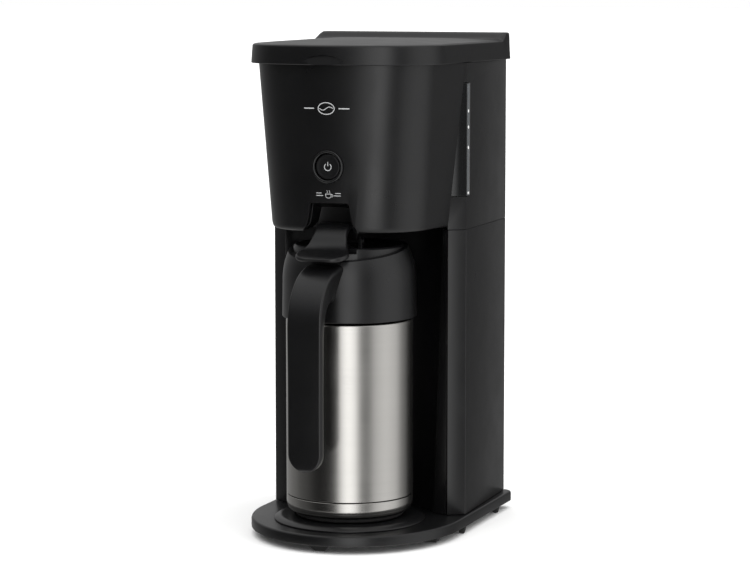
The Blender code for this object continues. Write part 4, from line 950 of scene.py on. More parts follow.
@dataclass
class Head:
    """Bowed front shell with the lever notch, its hood, and the printed marks."""

    corner: Pair = (0.0772, 0.0394)
    facet_width: float = 0.0141
    facet_angle: float = math.radians(31.0)
    gap: float = 0.00042
    front_top_y: float = -0.0462
    front_bottom_y: float = -0.0385
    nose_radius: float = 0.124
    corner_radius: float = 0.046
    flare_top: float = math.radians(10.5)
    flare_bottom: float = math.radians(9.0)
    seam_top: float = 0.0012
    edge_round: float = 0.0045
    wall: float = 0.0025
    notch_height: float = 0.0215
    notch_top_half: float = 0.015
    notch_bottom_half: float = 0.022
    notch_depth: float = -0.026
    notch_edge: float = 0.0011
    hood_edge: float = 0.0008
    lip_drop: float = 0.0016
    lip_depths: Triple = (0.0012, 0.0034, 0.0052)
    button_rise: float = 0.0477
    button_bore: float = 0.0122
    mark_rise: float = 0.0268
    badge_rise: float = 0.0896

    def front_y(self, x: float, z: float) -> float:
        """Find the depth of the front face at a place near its middle.

        Args:
            x: place across.
            z: height.
        Returns:
            The depth, from the jug's axis.
        """
        rise = (z - HEAD_Z) / (CASE_TOP - HEAD_Z)
        front = self.front_bottom_y + rise * (self.front_top_y - self.front_bottom_y)
        return front + self.nose_radius - math.sqrt(self.nose_radius**2 - x * x)

    def path(self, rise: float, inset: float) -> list[Vector]:
        """Plan path of the shell.

        Args:
            rise: share of the head's height.
            inset: how far the path is drawn in.
        Returns:
            Points from the right seam round the front to the left one.
        """
        run = Vector((math.cos(self.facet_angle), math.sin(self.facet_angle)))
        inward = Vector((-run.y, run.x))
        facet_left = self.facet_width + rise * (self.seam_top - self.facet_width)
        end = Vector(self.corner) - facet_left * run - self.gap * inward
        front_y = self.front_bottom_y + rise * (self.front_top_y - self.front_bottom_y)
        flare = self.flare_bottom + rise * (self.flare_top - self.flare_bottom)
        nose = Vector((0.0, front_y + self.nose_radius))
        corner = flank_corner(end, flare, self.corner_radius, nose, self.nose_radius)
        flank = [end.lerp(corner.foot, i / 5) for i in range(5)]
        path = mirrored(flank + arc(corner.centre, self.corner_radius, corner.start, corner.end, 20)
                        + arc(nose, self.nose_radius, corner.end, -math.pi / 2, 16)[1:])
        if inset:
            path = offset(path, -inset)
            path[0] = end - inset * run
            path[-1] = Vector((-path[0].x, path[0].y))
        return path

    def section(self, rise: float, inset: float) -> list[Vector]:
        """Outline of the shell's wall at a share of its height."""
        return self.path(rise, inset) + self.path(rise, max(self.wall, inset + 0.0012))[::-1]

    def notch(self, floor_z: float) -> list[Pair]:
        """Draw the lever notch from the front: rounded above, flared and rounded below.

        Args:
            floor_z: height that the outline is carried down to.
        Returns:
            The closed outline as (x, z) points.
        """
        top = HEAD_Z + self.notch_height
        waist, foot = self.notch_top_half + 0.0018, self.notch_bottom_half
        half = filleted([(0.0, top, 0), (self.notch_top_half, top, 0.0022), (waist, HEAD_Z + 0.009, 0.004),
                         (waist + 0.0012, HEAD_Z + 0.005, 0.003), (foot, HEAD_Z + 0.0006, 0.002),
                         (foot, floor_z, 0)], 4)[1:]
        return half + [(-x, z) for x, z in reversed(half)]

    def build(self) -> None:
        """Build the shell, the hood and the marks."""
        height = CASE_TOP - HEAD_Z
        rings = []
        for across, up in arc((0, 0), 1.0, 0, math.pi / 2, 6):
            rise = self.edge_round * (1 - across)
            rings.append(level(self.section(rise / height, 0.45 * self.edge_round * (1 - up)), HEAD_Z + rise))
        for share in (0.3, 0.6):
            rings.append(level(self.section(share, 0.0), HEAD_Z + share * height))
        rings.append(level(self.section(1.0, 0.0), CASE_TOP))
        tool = skin([[(x, y + JUG_Y, z) for x, z in self.notch(HEAD_Z - 0.006)]
                     for y in (self.front_top_y - 0.01, self.notch_depth)])
        shell = carve(skin(rings), tool)
        button_z = HEAD_Z + self.button_rise
        bore = turned_forward([(0, -0.02), (self.button_bore, -0.02), (self.button_bore, 0.02), (0, 0.02)],
                              self.front_y(0.0, button_z), button_z)
        shell = carve(shell, bore)

        def at_notch(edge: bmesh.types.BMEdge) -> bool:
            """Tell whether an edge runs round the outside of the notch.

            Args:
                edge: the edge.
            Returns:
                True if both its ends are on the front, in or beside the notch.
            """
            side, top = self.notch_bottom_half + 0.0006, HEAD_Z + self.notch_height + 0.0015
            return all(abs(v.co.x) < side and v.co.z < top
                       and v.co.y - JUG_Y < self.front_y(v.co.x, v.co.z) + 0.0008 for v in edge.verts)

        soften(shell, self.notch_edge, 40.0, 4, at_notch)
        make_piece("head_front_shell_moulded", shell, Body.MACHINE, Finishes.ABS, ("head_front_shell",), 35.0)
        remould("lever_recess", Body.MACHINE, Finishes.ABS, self.hood_edge, 3)
        self.build_lip()
        self.build_marks()

    def build_lip(self) -> None:
        """Fill the gap over the notch with the hood's slanted front lip."""
        top = HEAD_Z + self.notch_height - 0.0001
        foot = top - self.lip_drop
        edge, heel, back = self.lip_depths
        rings = []
        for step in range(13):
            x = (self.notch_top_half - 0.0006) * (step / 6 - 1)
            front = JUG_Y + self.front_y(x, top)
            rings.append([(x, front + depth, z) for depth, z in (
                (edge, top), (heel, foot), (back, foot), (back, top))])
        make_piece("notch_lip", skin(rings), Body.MACHINE, Finishes.ABS)

    def build_marks(self) -> None:
        """Print a cup between two rules under the button, and a bean badge above it."""
        marks = Marks(self.front_y)
        cup, badge = bmesh.new(), bmesh.new()
        z = HEAD_Z + self.mark_rise
        for side in (-1, 1):
            marks.line(cup, (side * 0.0095, z), (side * 0.0042, z), 0.0005)
            marks.line(cup, (side * 0.0095, z + 0.0018), (side * 0.0054, z + 0.0018), 0.0005)
        half = [(0.0010, z - 0.0016), (0.0020, z - 0.0008), (0.0022, z + 0.0012)]
        marks.stroke(cup, [(-x, height) for x, height in reversed(half)] + half, 0.0004, closed=True)
        marks.stroke(cup, arc((0.0026, z), 0.0009, -1.9, 1.9, 8), 0.0003)
        for x in (-0.0009, 0.0009):
            steam = [(x + 0.0003 * math.sin(i), z + 0.0020 + 0.0005 * i) for i in range(5)]
            marks.stroke(cup, steam, 0.0003)
        make_piece("cup_pictogram", cup, Body.MACHINE, Finishes.INK)
        z = HEAD_Z + self.badge_rise
        rim = [(0.0062 * c, z + 0.0042 * d) for c, d in arc((0, 0), 1.0, 0, 2 * math.pi, 36)[:-1]]
        marks.stroke(badge, rim, 0.0006, closed=True)
        crease = [(0.0052 * t, z + 0.0012 * math.sin(math.pi * t)) for t in (i / 6 - 1 for i in range(13))]
        marks.stroke(badge, crease, 0.0005)
        for side in (-1, 1):
            marks.line(badge, (side * 0.0095, z), (side * 0.0175, z), 0.0008)
        make_piece("bean_badge", badge, Body.MACHINE, Finishes.INK)


@dataclass
class PowerButton:
    """Sprung cap in a rounded glossy ring, with a printed power symbol."""

    cap_radius: float = 0.00925
    ring_radius: float = 0.012
    ring_depth: float = 0.006
    ring_gap: float = 0.0005
    bulge: float = 0.0012
    cap_depth: float = 0.005
    stem: Pair = (0.0024, 0.008)
    symbol_radius: float = 0.0026
    symbol_gap: float = 0.65
    symbol_line: float = 0.00055

    def build(self, face_y: float, z: float) -> None:
        """Build the ring, the cap and the symbol.

        Args:
            face_y: front of the shell at the button, from the jug's axis.
            z: height of the button's axis.
        """
        inner = self.cap_radius + self.ring_gap
        middle, half = (inner + self.ring_radius) / 2, (self.ring_radius - inner) / 2
        crown = [(middle - half * c, 0.0002 - self.bulge * d) for c, d in arc((0, 0), 1.0, 0, math.pi, 12)]
        profile = crown + [(self.ring_radius, self.ring_depth), (inner, self.ring_depth)]
        make_piece("button_bezel_polished", turned_forward(profile, face_y - 0.0004, z), Body.MACHINE,
                   Finishes.GLOSS, ("button_bezel",))
        rim = self.cap_radius - 0.0005
        stem, end = self.stem
        face = filleted([
            (0, 0.0005, 0), (rim - 0.0022, 0.00035, 0.002), (rim, 0.0, 0.0006),
            (self.cap_radius, 0.0009, 0.0006), (self.cap_radius, self.cap_depth, 0),
            (stem, self.cap_depth, 0), (stem, end, 0), (0, end, 0)])
        cap_y = face_y - 0.0002
        make_piece("power_button_cap", turned_forward(face, cap_y, z), Body.BUTTON, Finishes.ABS,
                   ("power_button",))
        marks = Marks(lambda x, height: cap_y + 0.00048)
        bm = bmesh.new()
        start, end = math.pi / 2 + self.symbol_gap, 5 * math.pi / 2 - self.symbol_gap
        ring = arc((0, z - 0.0002), self.symbol_radius, start, end, 30)
        marks.stroke(bm, ring, self.symbol_line)
        marks.line(bm, (0.0, z + 0.0004), (0.0, z + 0.0034), self.symbol_line)
        make_piece("power_symbol", bm, Body.BUTTON, Finishes.INK)


@dataclass
class Spring:
    """Coil spring wound between the ends of its CAD node."""

    node: str
    joint: str
    axis: Triple
    radius: float
    wire: float
    turns: int
    keep: float
    sides: int = 28

    def build(self) -> None:
        """Wind the spring between the ends of its CAD node."""
        low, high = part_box(self.node)
        axis = Vector(self.axis)
        middle = (low + high) / 2
        reach = axis * ((high - low).dot(axis) / 2 - self.wire)
        start, end = middle - reach, middle + reach
        side = axis.orthogonal().normalized()
        across = axis.cross(side)
        count = self.sides * self.turns
        section = arc((0, 0), self.wire, 0, 2 * math.pi, 8)[:-1]
        rings = []
        for i in range(count + 1):
            a = 2 * math.pi * i / self.sides
            out = side * math.cos(a) + across * math.sin(a)
            spot = start.lerp(end, i / count) + self.radius * out
            rings.append([spot + out * c + axis * d for c, d in section])
        piece = make_piece(f"{self.node}_wound", skin(rings), Body.MACHINE, Finishes.ZINC, (self.node,))
        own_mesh(piece)


# ---------------------------------------------------------------- lid

@dataclass
class Lid:
    """Hinged lid: a drafted rim, a low dome, a ridge along the back and a finger scoop."""

    front_y: float = -0.0504
    back_y: float = 0.1374
    half: float = 0.0795
    nose_radius: float = 0.130
    corner_radius: float = 0.050
    flare: float = math.radians(2.0)
    rear_radius: float = 0.006
    wall: float = 0.0025
    rim_height: float = 0.014
    rim_draft: float = 0.0009
    crown: float = 0.0032
    ridge_rise: float = 0.0062
    ridge_depth: float = 0.018
    edge: float = 0.0016
    scoop_width: float = 0.040
    scoop_height: float = 0.007
    scoop_depth: float = 0.0019
    scoop_slope: float = 0.21
    knuckle_radius: float = 0.0029
    knuckle_half: float = 0.004
    root_half: float = 0.0021
    root_sunk: float = 0.0012

    def plan(self) -> list[Vector]:
        """Draw the lid's outline, with points close together where the ridge meets its sides.

        Returns:
            The closed outline, from the middle of the back round by the right.
        """
        rear = Vector((self.half - self.rear_radius, self.back_y - self.rear_radius))
        end = Vector((self.half, rear.y))
        nose = Vector((0.0, self.front_y + self.nose_radius))
        corner = flank_corner(end, self.flare, self.corner_radius, nose, self.nose_radius)
        shares = [0.02 * i for i in range(8)] + [0.16 + 0.84 * i / 10 for i in range(11)]
        flank = [end.lerp(corner.foot, share) for share in shares]
        back = [Vector((x * rear.x / 12, self.back_y)) for x in range(12)]
        half = (back + arc(rear, self.rear_radius, math.pi / 2, 0, 8)[:-1] + flank[:-1]
                + arc(corner.centre, self.corner_radius, corner.start, corner.end, 24)
                + arc(nose, self.nose_radius, corner.end, -math.pi / 2, 20)[1:])
        return half + [Vector((-p.x, p.y)) for p in reversed(half[1:-1])]

    def top(self, x: float, y: float, share: float, rim_z: float) -> float:
        """Height of the lid's top.

        Args:
            x: place across.
            y: place fore and aft, from the jug's axis.
            share: how far out towards the rim, from 0 to 1.
            rim_z: height of the rim's top.
        Returns:
            The height.
        """
        dome = self.crown * (1 - share**2.2)
        front = self.back_y - self.ridge_depth
        face = smooth_step(front - 0.001, front + 0.0075, y)
        left_end = smooth_step(-self.half - 0.001, -self.half + 0.007, x)
        return rim_z + dome * (1 - face) + self.ridge_rise * face * (0.12 + 0.88 * left_end)

    def build(self) -> None:
        """Build the lid's shell and its two knuckles."""
        low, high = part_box("lid")
        rim_z = low.z + self.rim_height
        outline = self.plan()
        inner = self.drawn_in(outline, self.wall)
        middle = Vector((0.0, (self.front_y + self.back_y) / 2))

        def ring(inset: float, drop: float) -> list[Triple]:
            """A ring just inside the outline, a drop below the top there."""
            moved = self.drawn_in(outline, inset)
            return [(p.x, p.y + JUG_Y, self.top(p.x, p.y, 1.0, rim_z) - drop) for p in moved]

        rings = [level(inner, rim_z - self.wall), level(inner, low.z)]
        rings.append(level(self.drawn_in(outline, 0.0003), low.z))
        rings.append(level(outline, low.z + 0.0004))
        rings.append(level(self.drawn_in(outline, 0.5 * self.rim_draft), low.z + 0.5 * self.rim_height))
        for across, up in arc((0, 0), 1.0, 0, math.pi / 2, 5):
            rings.append(ring(self.rim_draft + self.edge * (1 - across), self.edge * (1 - up)))
        shares = [0.965, 0.945, 0.92, 0.895] + [0.88 - 0.015 * i for i in range(7)]
        for share in shares + [0.76, 0.70, 0.62, 0.5, 0.36, 0.2]:
            rings.append([(p.x, p.y + JUG_Y, self.top(p.x, p.y, share, rim_z))
                          for p in (middle + share * (q - middle) for q in outline)])
        shell = carve(skin(rings), self.scoop(low.z))
        make_piece("lid_moulded", shell, Body.LID, Finishes.ABS, ("lid",), 32.0)
        self.build_knuckles()

    def turns_left(self, outline: Sequence[Vector]) -> bool:
        """Whether a closed outline runs anticlockwise."""
        pairs = zip(outline, list(outline[1:]) + [outline[0]])
        return sum(a.x * b.y - b.x * a.y for a, b in pairs) > 0

    def drawn_in(self, outline: Sequence[Vector], inset: float) -> list[Vector]:
        """The outline drawn in by a distance."""
        side = 1 if self.turns_left(outline) else -1
        return offset(outline, side * inset, closed=True)

    def scoop(self, foot_z: float) -> bmesh.types.BMesh:
        """Make the tool for the finger scoop: a lens in front that is deepest along its upper arc.

        Args:
            foot_z: height of the rim's lower edge.
        Returns:
            The tool.
        """
        radius = ((self.scoop_width / 2) ** 2 + self.scoop_height**2) / (2 * self.scoop_height)
        axis_z = foot_z + self.scoop_height - radius
        front = self.front_y + JUG_Y
        profile = [(0, -0.01), (radius, -0.01), (radius, self.scoop_depth), (0, self.scoop_depth)]
        tool = turned_forward(profile, self.front_y, axis_z, 220)
        for vertex in tool.verts:
            if vertex.co.y > front:
                vertex.co.y = front + 0.0004 + self.scoop_slope * (vertex.co.z - foot_z)
        return tool

    def build_knuckles(self) -> None:
        """Build the round knuckles that turn on the hinge pins."""
        for side, tag in ((1, "right"), (-1, "left")):
            pin_low, pin_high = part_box(f"hinge_pin_{tag}")
            middle = (pin_low + pin_high) / 2
            turn = 0.75 * math.pi
            outer = [(p.x, p.y) for p in arc((middle.y, middle.z), self.knuckle_radius, -turn, turn, 24)]
            root_y = JUG_Y + self.back_y - self.root_sunk
            profile = [(root_y, middle.z - self.root_half)] + outer + [(root_y, middle.z + self.root_half)]
            ends = (middle.x - self.knuckle_half, middle.x + self.knuckle_half)
            bm = skin([[(x, y, z) for y, z in profile] for x in ends])
            make_piece(f"lid_knuckle_{tag}", soften(bm, 0.0003, 50.0), Body.LID, Finishes.ABS)


# ---------------------------------------------------------------- jug

@dataclass
class Jug:
    """Vacuum jug: steel body, base cap, collar with its sloping rim, lid, handle and thumb lever."""

    wall: float = 0.0008
    vacuum: float = 0.0034
    shoulder: float = 0.020
    mouth: float = 0.032
    collar_proud: float = 0.0027
    collar_height: float = 0.0532
    rim_inset: float = 0.0063
    rim_wall: float = 0.0018
    slope: float = math.radians(8.4)
    rim_drop: float = 0.0024
    lid_height: float = 0.014
    handle_reach: float = 0.0866
    handle_width: float = 0.0258
    handle_thickness: float = 0.0065
    handle_root: float = 0.032
    handle_drop: float = 0.0105
    handle_round: float = 0.0017
    steel_gap: float = 0.0006
    base_height: float = 0.0132
    flask_rise: float = 0.009
    knuckle_radius: float = 0.0026
    lever_half: float = 0.013
    fine_edge: float = 0.0004
    foot: float = field(init=False)
    collar_z: float = field(init=False)
    steel_top: float = field(init=False)
    top: float = field(init=False)

    def __post_init__(self) -> None:
        """Read the jug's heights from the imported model."""
        self.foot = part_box("jug_base_cap")[0].z
        self.collar_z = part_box("jug_collar")[0].z
        self.steel_top = self.collar_z - self.steel_gap
        self.top = self.collar_z + self.collar_height

    def build(self) -> None:
        """Build every visible piece of the jug."""
        self.build_steel()
        self.build_cap()
        self.build_collar()
        self.build_handle()
        self.build_lever()
        remould("jug_lid", Body.JUG, Finishes.ABS, self.fine_edge, 3)
        remould("jug_base_pad", Body.JUG, Finishes.RUBBER, self.fine_edge)

    def build_steel(self) -> None:
        """Spin the double-walled vessel, from its flask over the lip and down the outer wall."""
        r, wall, mouth = JUG_RADIUS, self.wall, self.mouth
        flask = r - 2 * wall - self.vacuum
        low, bottom = self.foot + self.base_height, self.foot + self.flask_rise
        shoulder, neck, lip = self.steel_top - 0.001, self.steel_top + self.shoulder, JUG_HIGH.z
        flask_side = [
            (0, bottom, 0), (flask - 0.005, bottom, 0.004), (flask, bottom + 0.005, 0.004),
            (flask, shoulder - 0.004, 0.004), (mouth, neck - 0.003, 0.004), (mouth, lip, 0.0006)]
        outside = [
            (mouth + 2.6 * wall, lip, 0.0006), (mouth + 2.6 * wall, neck, 0.003),
            (r - 0.003, shoulder + 0.002, 0.002), (r, shoulder - 0.0004, 0.0016), (r, low + 0.0002, 0.0002),
            (r - 0.0003, low, 0.0002)]
        vacuum_side = [
            (r - wall, low, 0), (r - wall, shoulder - 0.0006, 0), (mouth + 1.8 * wall, neck - 0.0012, 0),
            (mouth + 1.8 * wall, lip - 0.003, 0), (mouth + wall, lip - 0.003, 0),
            (mouth + wall, neck - 0.0026, 0), (flask + wall, shoulder - 0.0036, 0),
            (flask + wall, bottom + 0.0047, 0), (flask - 0.0047, bottom - wall, 0), (0, bottom - wall, 0)]
        outline = filleted(flask_side + outside + vacuum_side)
        make_piece("jug_vessel_spun", turned(outline, sides=192), Body.JUG, Finishes.STEEL, ("jug_vessel",))

    def build_cap(self) -> None:
        """Spin the base cap, which is pressed over the foot of the steel body."""
        r, wall, z = JUG_RADIUS, self.wall, self.foot
        lip_z = z + self.base_height - self.steel_gap
        cap = filleted([
            (0, z + 0.0012, 0), (r - 0.006, z + 0.0012, 0), (r - 0.0022, z + 0.004, 0),
            (r - wall, z + 0.0066, 0), (r - wall, lip_z, 0), (r - 0.0003, lip_z, 0.0002),
            (r, lip_z - 0.0003, 0.0002), (r, z + 0.0062, 0.003), (r - 0.0012, z + 0.0022, 0.0016),
            (r - 0.0042, z, 0.002), (0, z, 0)])
        make_piece("jug_base_cap_spun", turned(cap, sides=192), Body.JUG, Finishes.STEEL, ("jug_base_cap",))

    def collar_side(self) -> list[Vector]:
        """Draw the outer side of the collar: upright, then drawn in to its rim.

        Returns:
            (radius, height) points from the foot to the rim.
        """
        radius = JUG_RADIUS + self.collar_proud
        top = self.top - 0.0003
        rim = radius - self.rim_inset
        return [Vector((radius, self.collar_z))] + bezier(
            (radius - 0.0004, top - 0.024), (radius - 0.0009, top - 0.012), (rim + 0.0024, top - 0.007),
            (rim, top), 18)

    def build_collar(self) -> None:
        """Turn the collar and cut its rim to slope down towards the handle."""
        side = self.collar_side()
        rim = side[-1].x - self.rim_wall
        lid_z = self.top - self.lid_height
        inner = JUG_RADIUS + 0.0006
        profile = [(side[0].x - 0.0004, self.collar_z), (side[0].x, self.collar_z + 0.0004)]
        profile += [(p.x, p.y) for p in side[1:]]
        profile += [(rim, self.top - 0.0003), (rim, lid_z), (self.mouth + 0.003, lid_z),
                    (self.mouth + 0.003, lid_z - 0.0024), (inner - 0.003, lid_z - 0.0024),
                    (inner, lid_z - 0.0114), (inner, self.collar_z)]
        reach = 2 * JUG_RADIUS
        corners = ((-reach, -reach), (reach, -reach), (reach, reach), (-reach, reach))
        box = skin([[(x, y, z) for x, y in corners] for z in (0.0, 0.04)])
        lift = Matrix.Translation((0, JUG_Y, self.top - self.rim_drop)) @ Matrix.Rotation(self.slope, 4, "X")
        bmesh.ops.transform(box, verts=box.verts, matrix=lift)
        collar = carve(turned(profile, sides=160), box)
        rim_floor = self.top - 0.016

        def at_rim(edge: bmesh.types.BMEdge) -> bool:
            """Tell whether an edge runs round the sloping rim.

            Args:
                edge: the edge.
            Returns:
                True if it is nearly level, high on the collar and no further in than the rim.
            """
            first, second = (v.co for v in edge.verts)
            return abs(first.z - second.z) < 0.004 and all(
                c.z > rim_floor and math.hypot(c.x, c.y - JUG_Y) > rim - 0.0005 for c in (first, second))

        soften(collar, 0.0006, 30.0, 3, at_rim)
        make_piece("jug_collar_moulded", collar, Body.JUG, Finishes.ABS, ("jug_collar",), 35.0)

    @staticmethod
    def bar(outer: Vector, inner: Vector, half: float, radius: float, taper: float = 1.0) -> list[Triple]:
        """Draw a rounded rectangular section between two profile points.

        Args:
            outer: (y, z) on the outside.
            inner: (y, z) on the inside.
            half: half its width.
            radius: radius of its corners.
            taper: width at the inside as a share of the width outside.
        Returns:
            Ring of points.
        """
        thick = (inner - outer).length / 2
        radius = min(radius, 0.98 * thick, 0.98 * half)
        middle, unit = (outer + inner) / 2, (inner - outer).normalized()
        ring = []
        for turn, (sx, sv) in enumerate(((1, 1), (-1, 1), (-1, -1), (1, -1))):
            for p in arc((sx * (half - radius), sv * (thick - radius)), radius, turn * math.pi / 2,
                         (turn + 1) * math.pi / 2, 5):
                spot = middle + unit * p.y
                narrow = 1 + (taper - 1) * (p.y + thick) / (2 * thick)
                ring.append((p.x * narrow, spot.x + JUG_Y, spot.y))
        return ring

    def build_handle(self) -> None:
        """Loft the handle from its round tip up the strap and over to its root on the collar."""
        low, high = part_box("jug_handle")
        half = self.handle_width / 2
        top = self.top - self.handle_drop
        root = top - self.handle_root
        round_in = self.handle_round
        outer_y, inner_y = -self.handle_reach, self.handle_thickness - self.handle_reach
        bend_z = top - 0.042
        start_y = 0.006 - JUG_RADIUS
        rings = []
        centre_z = low.z + half
        for step in range(1, 13):
            a = step / 12 * math.pi / 2
            z = centre_z - half * math.cos(a)
            thin = 0.0016 * (1 - smooth_step(0.0, 0.35, step / 12))
            outer, inner = Vector((outer_y + thin, z)), Vector((inner_y - thin, z))
            rings.append(self.bar(outer, inner, half * math.sin(a), round_in))
        for share in (0.25, 0.5, 0.75):
            z = centre_z + share * (bend_z - 0.014 - centre_z)
            rings.append(self.bar(Vector((outer_y, z)), Vector((inner_y, z)), half, round_in))
        over = bezier((outer_y, bend_z), (outer_y, top - 0.012), (start_y - 0.022, top), (start_y, top), 26)
        under = bezier((inner_y, bend_z - 0.014), (inner_y, bend_z + 0.026), (start_y - 0.018, root + 0.010),
                       (start_y, root), 26)
        for i, (a, b) in enumerate(zip(over, under)):
            spread = smooth_step(0.45, 1.0, i / 26)
            rings.append(self.bar(a, b, half + 0.0024 * spread, round_in + 0.004 * spread, 1 - 0.62 * spread))
        make_piece("jug_handle_moulded", skin(rings), Body.JUG, Finishes.ABS, ("jug_handle",), 50.0)

    def build_lever(self) -> None:
        """Loft the thumb lever: a broad pad, a hump that reaches into the head and a knuckle on its pin."""
        z, wide = self.top, self.lever_half
        # Each station is its place fore and aft, its height, half its width and its thickness.
        stations = [
            (-0.0636, z - 0.0066, 0.0075, 0.0012), (-0.0628, z - 0.0064, 0.0120, 0.0024),
            (-0.0590, z - 0.0056, 0.0176, 0.0035), (-0.0520, z - 0.0040, 0.0199, 0.0040),
            (-0.0460, z - 0.0018, 0.0180, 0.0038), (-0.0410, z + 0.0025, 0.0150, 0.0038),
            (-0.0365, z + 0.0088, 0.0131, 0.0038), (-0.0310, z + 0.0140, wide, 0.0038),
            (-0.0250, z + 0.0152, wide, 0.0038), (-0.0195, z + 0.0118, wide, 0.0038),
            (-0.0158, z + 0.0070, wide, 0.0038), (-0.0140, z + 0.0035, wide, 0.0036)]
        dense = catmull(stations, 5)
        rings = []
        for i, (y, height, half, thick) in enumerate(dense):
            before, after = dense[max(i - 1, 0)], dense[min(i + 1, len(dense) - 1)]
            run = Vector((after[0] - before[0], after[1] - before[1])).normalized()
            normal = Vector((-run.y, run.x))
            spot = Vector((y, height))
            rings.append(self.bar(spot + normal * thick / 2, spot - normal * thick / 2, half, 0.0018))
        pin_low, pin_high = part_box("lever_pin")
        eye = (pin_low + pin_high) / 2
        rim = [(p.x, p.y) for p in arc((eye.y, eye.z), self.knuckle_radius, 0, 2 * math.pi, 32)[:-1]]
        knuckle = skin([[(x, y, height) for y, height in rim] for x in (-wide, wide)])
        lever = carve(skin(rings), knuckle, Cut.ADD)
        make_piece("thumb_lever_moulded", lever, Body.LEVER, Finishes.ABS, ("thumb_lever",))


# ---------------------------------------------------------------- frame, camera and light

def dress_frame() -> None:
    """Give every CAD node that still shows the finish of its material slot."""
    finishes = Finishes.by_slot()
    for name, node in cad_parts.items():
        for place in node.material_slots:
            slot = place.material.name.split(".")[0] if place.material else ""
            if slot in finishes:
                place.material = finishes[slot].material()
            elif place.material and place.material.name not in {f.name for f in finishes.values()}:
                LOG.warning("%s has an unknown slot %s", name, slot)
        LOG.info("%s dressed", name)


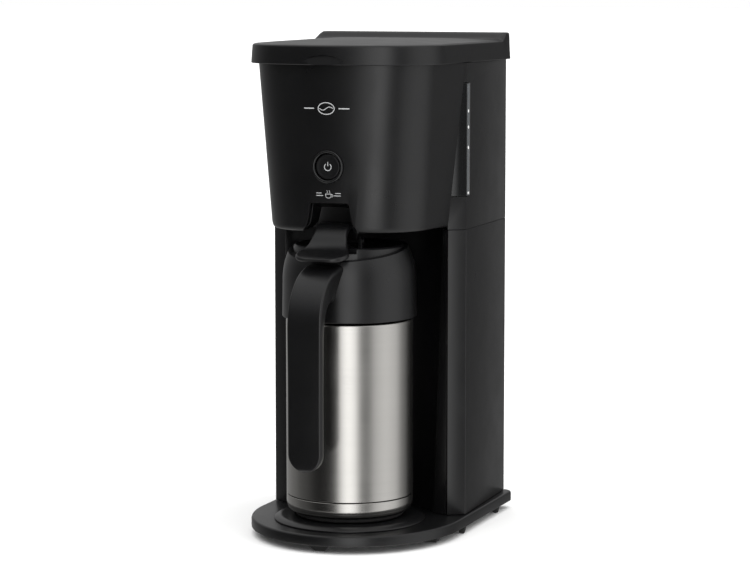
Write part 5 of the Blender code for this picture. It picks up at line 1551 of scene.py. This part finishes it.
@dataclass
class Studio:
    """Camera, pale floor and soft light."""

    azimuth: float = math.radians(21.42)
    elevation: float = math.radians(6.86)
    distance: float = 1.92379
    lens: float = 125.4
    aim: Triple = (0.01749, -0.02284, 0.18394)
    sensor: float = 36.0
    floor_half: float = 30.0
    floor_depth: float = 0.02
    overhead: float = 2.7
    overhead_angle: float = math.radians(110)
    overhead_tilt: Triple = (math.radians(12), math.radians(8), 0.0)
    sky: float = 0.9
    sky_heights: Pair = (0.25, 0.95)
    ground: tuple[float, float, float, float] = (0.85, 0.85, 0.84, 1.0)
    ground_heights: Pair = (-0.40, -0.75)
    # Brightness round the machine, by azimuth in degrees: soft boxes and dark panels between them.
    bands: tuple[Pair, ...] = (
        (-180, 0.34), (-150, 0.44), (-128, 0.28), (-100, 0.20), (-75, 0.10), (-35, 0.02), (-2, 0.03),
        (6, 1.30), (18, 2.00), (30, 1.70), (42, 0.26), (54, 0.22), (72, 0.80), (90, 0.95), (112, 0.80),
        (132, 0.26), (146, 0.14), (162, 0.12), (180, 0.34))

    def build(self) -> None:
        """Set up the whole studio."""
        self.build_camera()
        self.build_floor()
        self.build_world()
        self.build_lights()
        bpy.context.scene.view_settings.view_transform = "Standard"

    def build_camera(self) -> None:
        """Place the camera level, a little above the machine and to its right."""
        data = bpy.data.cameras.new("camera")
        data.lens, data.sensor_width = self.lens, self.sensor
        camera = bpy.data.objects.new("camera", data)
        flat, rise = math.cos(self.elevation), math.sin(self.elevation)
        back = Vector((math.sin(self.azimuth) * flat, -math.cos(self.azimuth) * flat, rise))
        camera.location = Vector(self.aim) + self.distance * back
        camera.rotation_euler = back.to_track_quat("Z", "Y").to_euler()
        bpy.context.scene.collection.objects.link(camera)
        bpy.context.scene.camera = camera

    def build_floor(self) -> None:
        """Lay the plain pale floor."""
        half = self.floor_half
        corners = ((-half, -half), (half, -half), (half, half), (-half, half))
        rings = [[(x, y, z) for x, y in corners] for z in (-self.floor_depth, 0.0)]
        floor = mesh_object("floor", skin(rings))
        made = bpy.data.materials.new("painted_floor_white")
        made.use_nodes = True
        tree = made.node_tree
        place = add_node(tree, "TexCoord").outputs["Object"]
        noise = add_node(tree, "TexNoise", {"Vector": place, "Scale": 3.0, "Detail": 3.0})
        ramp = add_node(tree, "ValToRGB", {"Fac": noise.outputs["Fac"]})
        colour = ramp_stops(ramp, ((0.3, linear("#f7f7f6")), (0.7, linear("#fbfbfb"))))
        shader = tree.nodes["Principled BSDF"]
        tree.links.new(colour, shader.inputs["Base Color"])
        shader.inputs["Roughness"].default_value = 0.9
        shader.inputs["Specular IOR Level"].default_value = 0.1
        floor.data.materials.append(made)
        floor.visible_glossy = False

    def build_world(self) -> None:
        """Surround the machine with soft boxes, dark panels and a plain white backdrop."""
        world = bpy.data.worlds.new("studio")
        world.use_nodes = True
        tree = world.node_tree
        tree.nodes.clear()
        way = add_node(tree, "TexCoord").outputs["Generated"]
        parts = add_node(tree, "SeparateXYZ", {"Vector": way}).outputs
        back = add_node(tree, "Math", {0: parts["Y"], 1: -1.0}, operation="MULTIPLY")
        turn = add_node(tree, "Math", {0: parts["X"], 1: back.outputs[0]}, operation="ARCTAN2")
        share = add_node(tree, "MapRange", {"Value": turn.outputs[0], "From Min": -math.pi,
                                            "From Max": math.pi})
        ramp = add_node(tree, "ValToRGB", {"Fac": share.outputs["Result"]})
        ramp.color_ramp.interpolation = "EASE"
        stops = [((angle + 180) / 360, (light, light, light, 1.0)) for angle, light in self.bands]
        bands = ramp_stops(ramp, stops)
        up = add_node(tree, "MapRange", {"Value": parts["Z"], "From Min": self.sky_heights[0],
                                         "From Max": self.sky_heights[1]})
        sky = add_node(tree, "Mix", {"Factor": up.outputs["Result"], 6: bands, 7: (self.sky,) * 3 + (1.0,)},
                       data_type="RGBA")
        down = add_node(tree, "MapRange", {"Value": parts["Z"], "From Min": self.ground_heights[0],
                                           "From Max": self.ground_heights[1]})
        ground = add_node(tree, "Mix", {"Factor": down.outputs["Result"], 6: sky.outputs[2], 7: self.ground},
                          data_type="RGBA")
        seen = add_node(tree, "LightPath").outputs["Is Camera Ray"]
        both = add_node(tree, "Mix", {"Factor": seen, 6: ground.outputs[2], 7: (1.0, 1.0, 1.0, 1.0)},
                        data_type="RGBA")
        light = add_node(tree, "Background", {"Color": both.outputs[2], "Strength": 1.0})
        add_node(tree, "OutputWorld", {"Surface": light.outputs["Background"]})
        bpy.context.scene.world = world

    def build_lights(self) -> None:
        """Hang one very wide soft light overhead, which whitens the floor and shows in no reflection."""
        data = bpy.data.lights.new("overhead", "SUN")
        data.energy, data.angle = self.overhead, self.overhead_angle
        lamp = bpy.data.objects.new("overhead", data)
        lamp.rotation_euler = self.overhead_tilt
        lamp.visible_glossy = False
        bpy.context.scene.collection.objects.link(lamp)


def main() -> None:
    """Build the machine part by part, then the studio."""
    logging.basicConfig(level=logging.INFO, format="%(name)s %(message)s")
    dress_frame()
    head = Head()
    for part in (Base(), Column(), Gauge(), head, Lid(), Jug()):
        part.build()
    button_z = HEAD_Z + head.button_rise
    PowerButton().build(head.front_y(0.0, button_z), button_z)
    Spring("button_spring", "power_button_press", (0, 1, 0), 0.0040, 0.00025, 3, 0.52).build()
    Spring("valve_spring", "drip_valve_lift", (0, 0, 1), 0.0042, 0.0003, 4, 0.62).build()
    Studio().build()


if __name__ == "__main__":
    main()
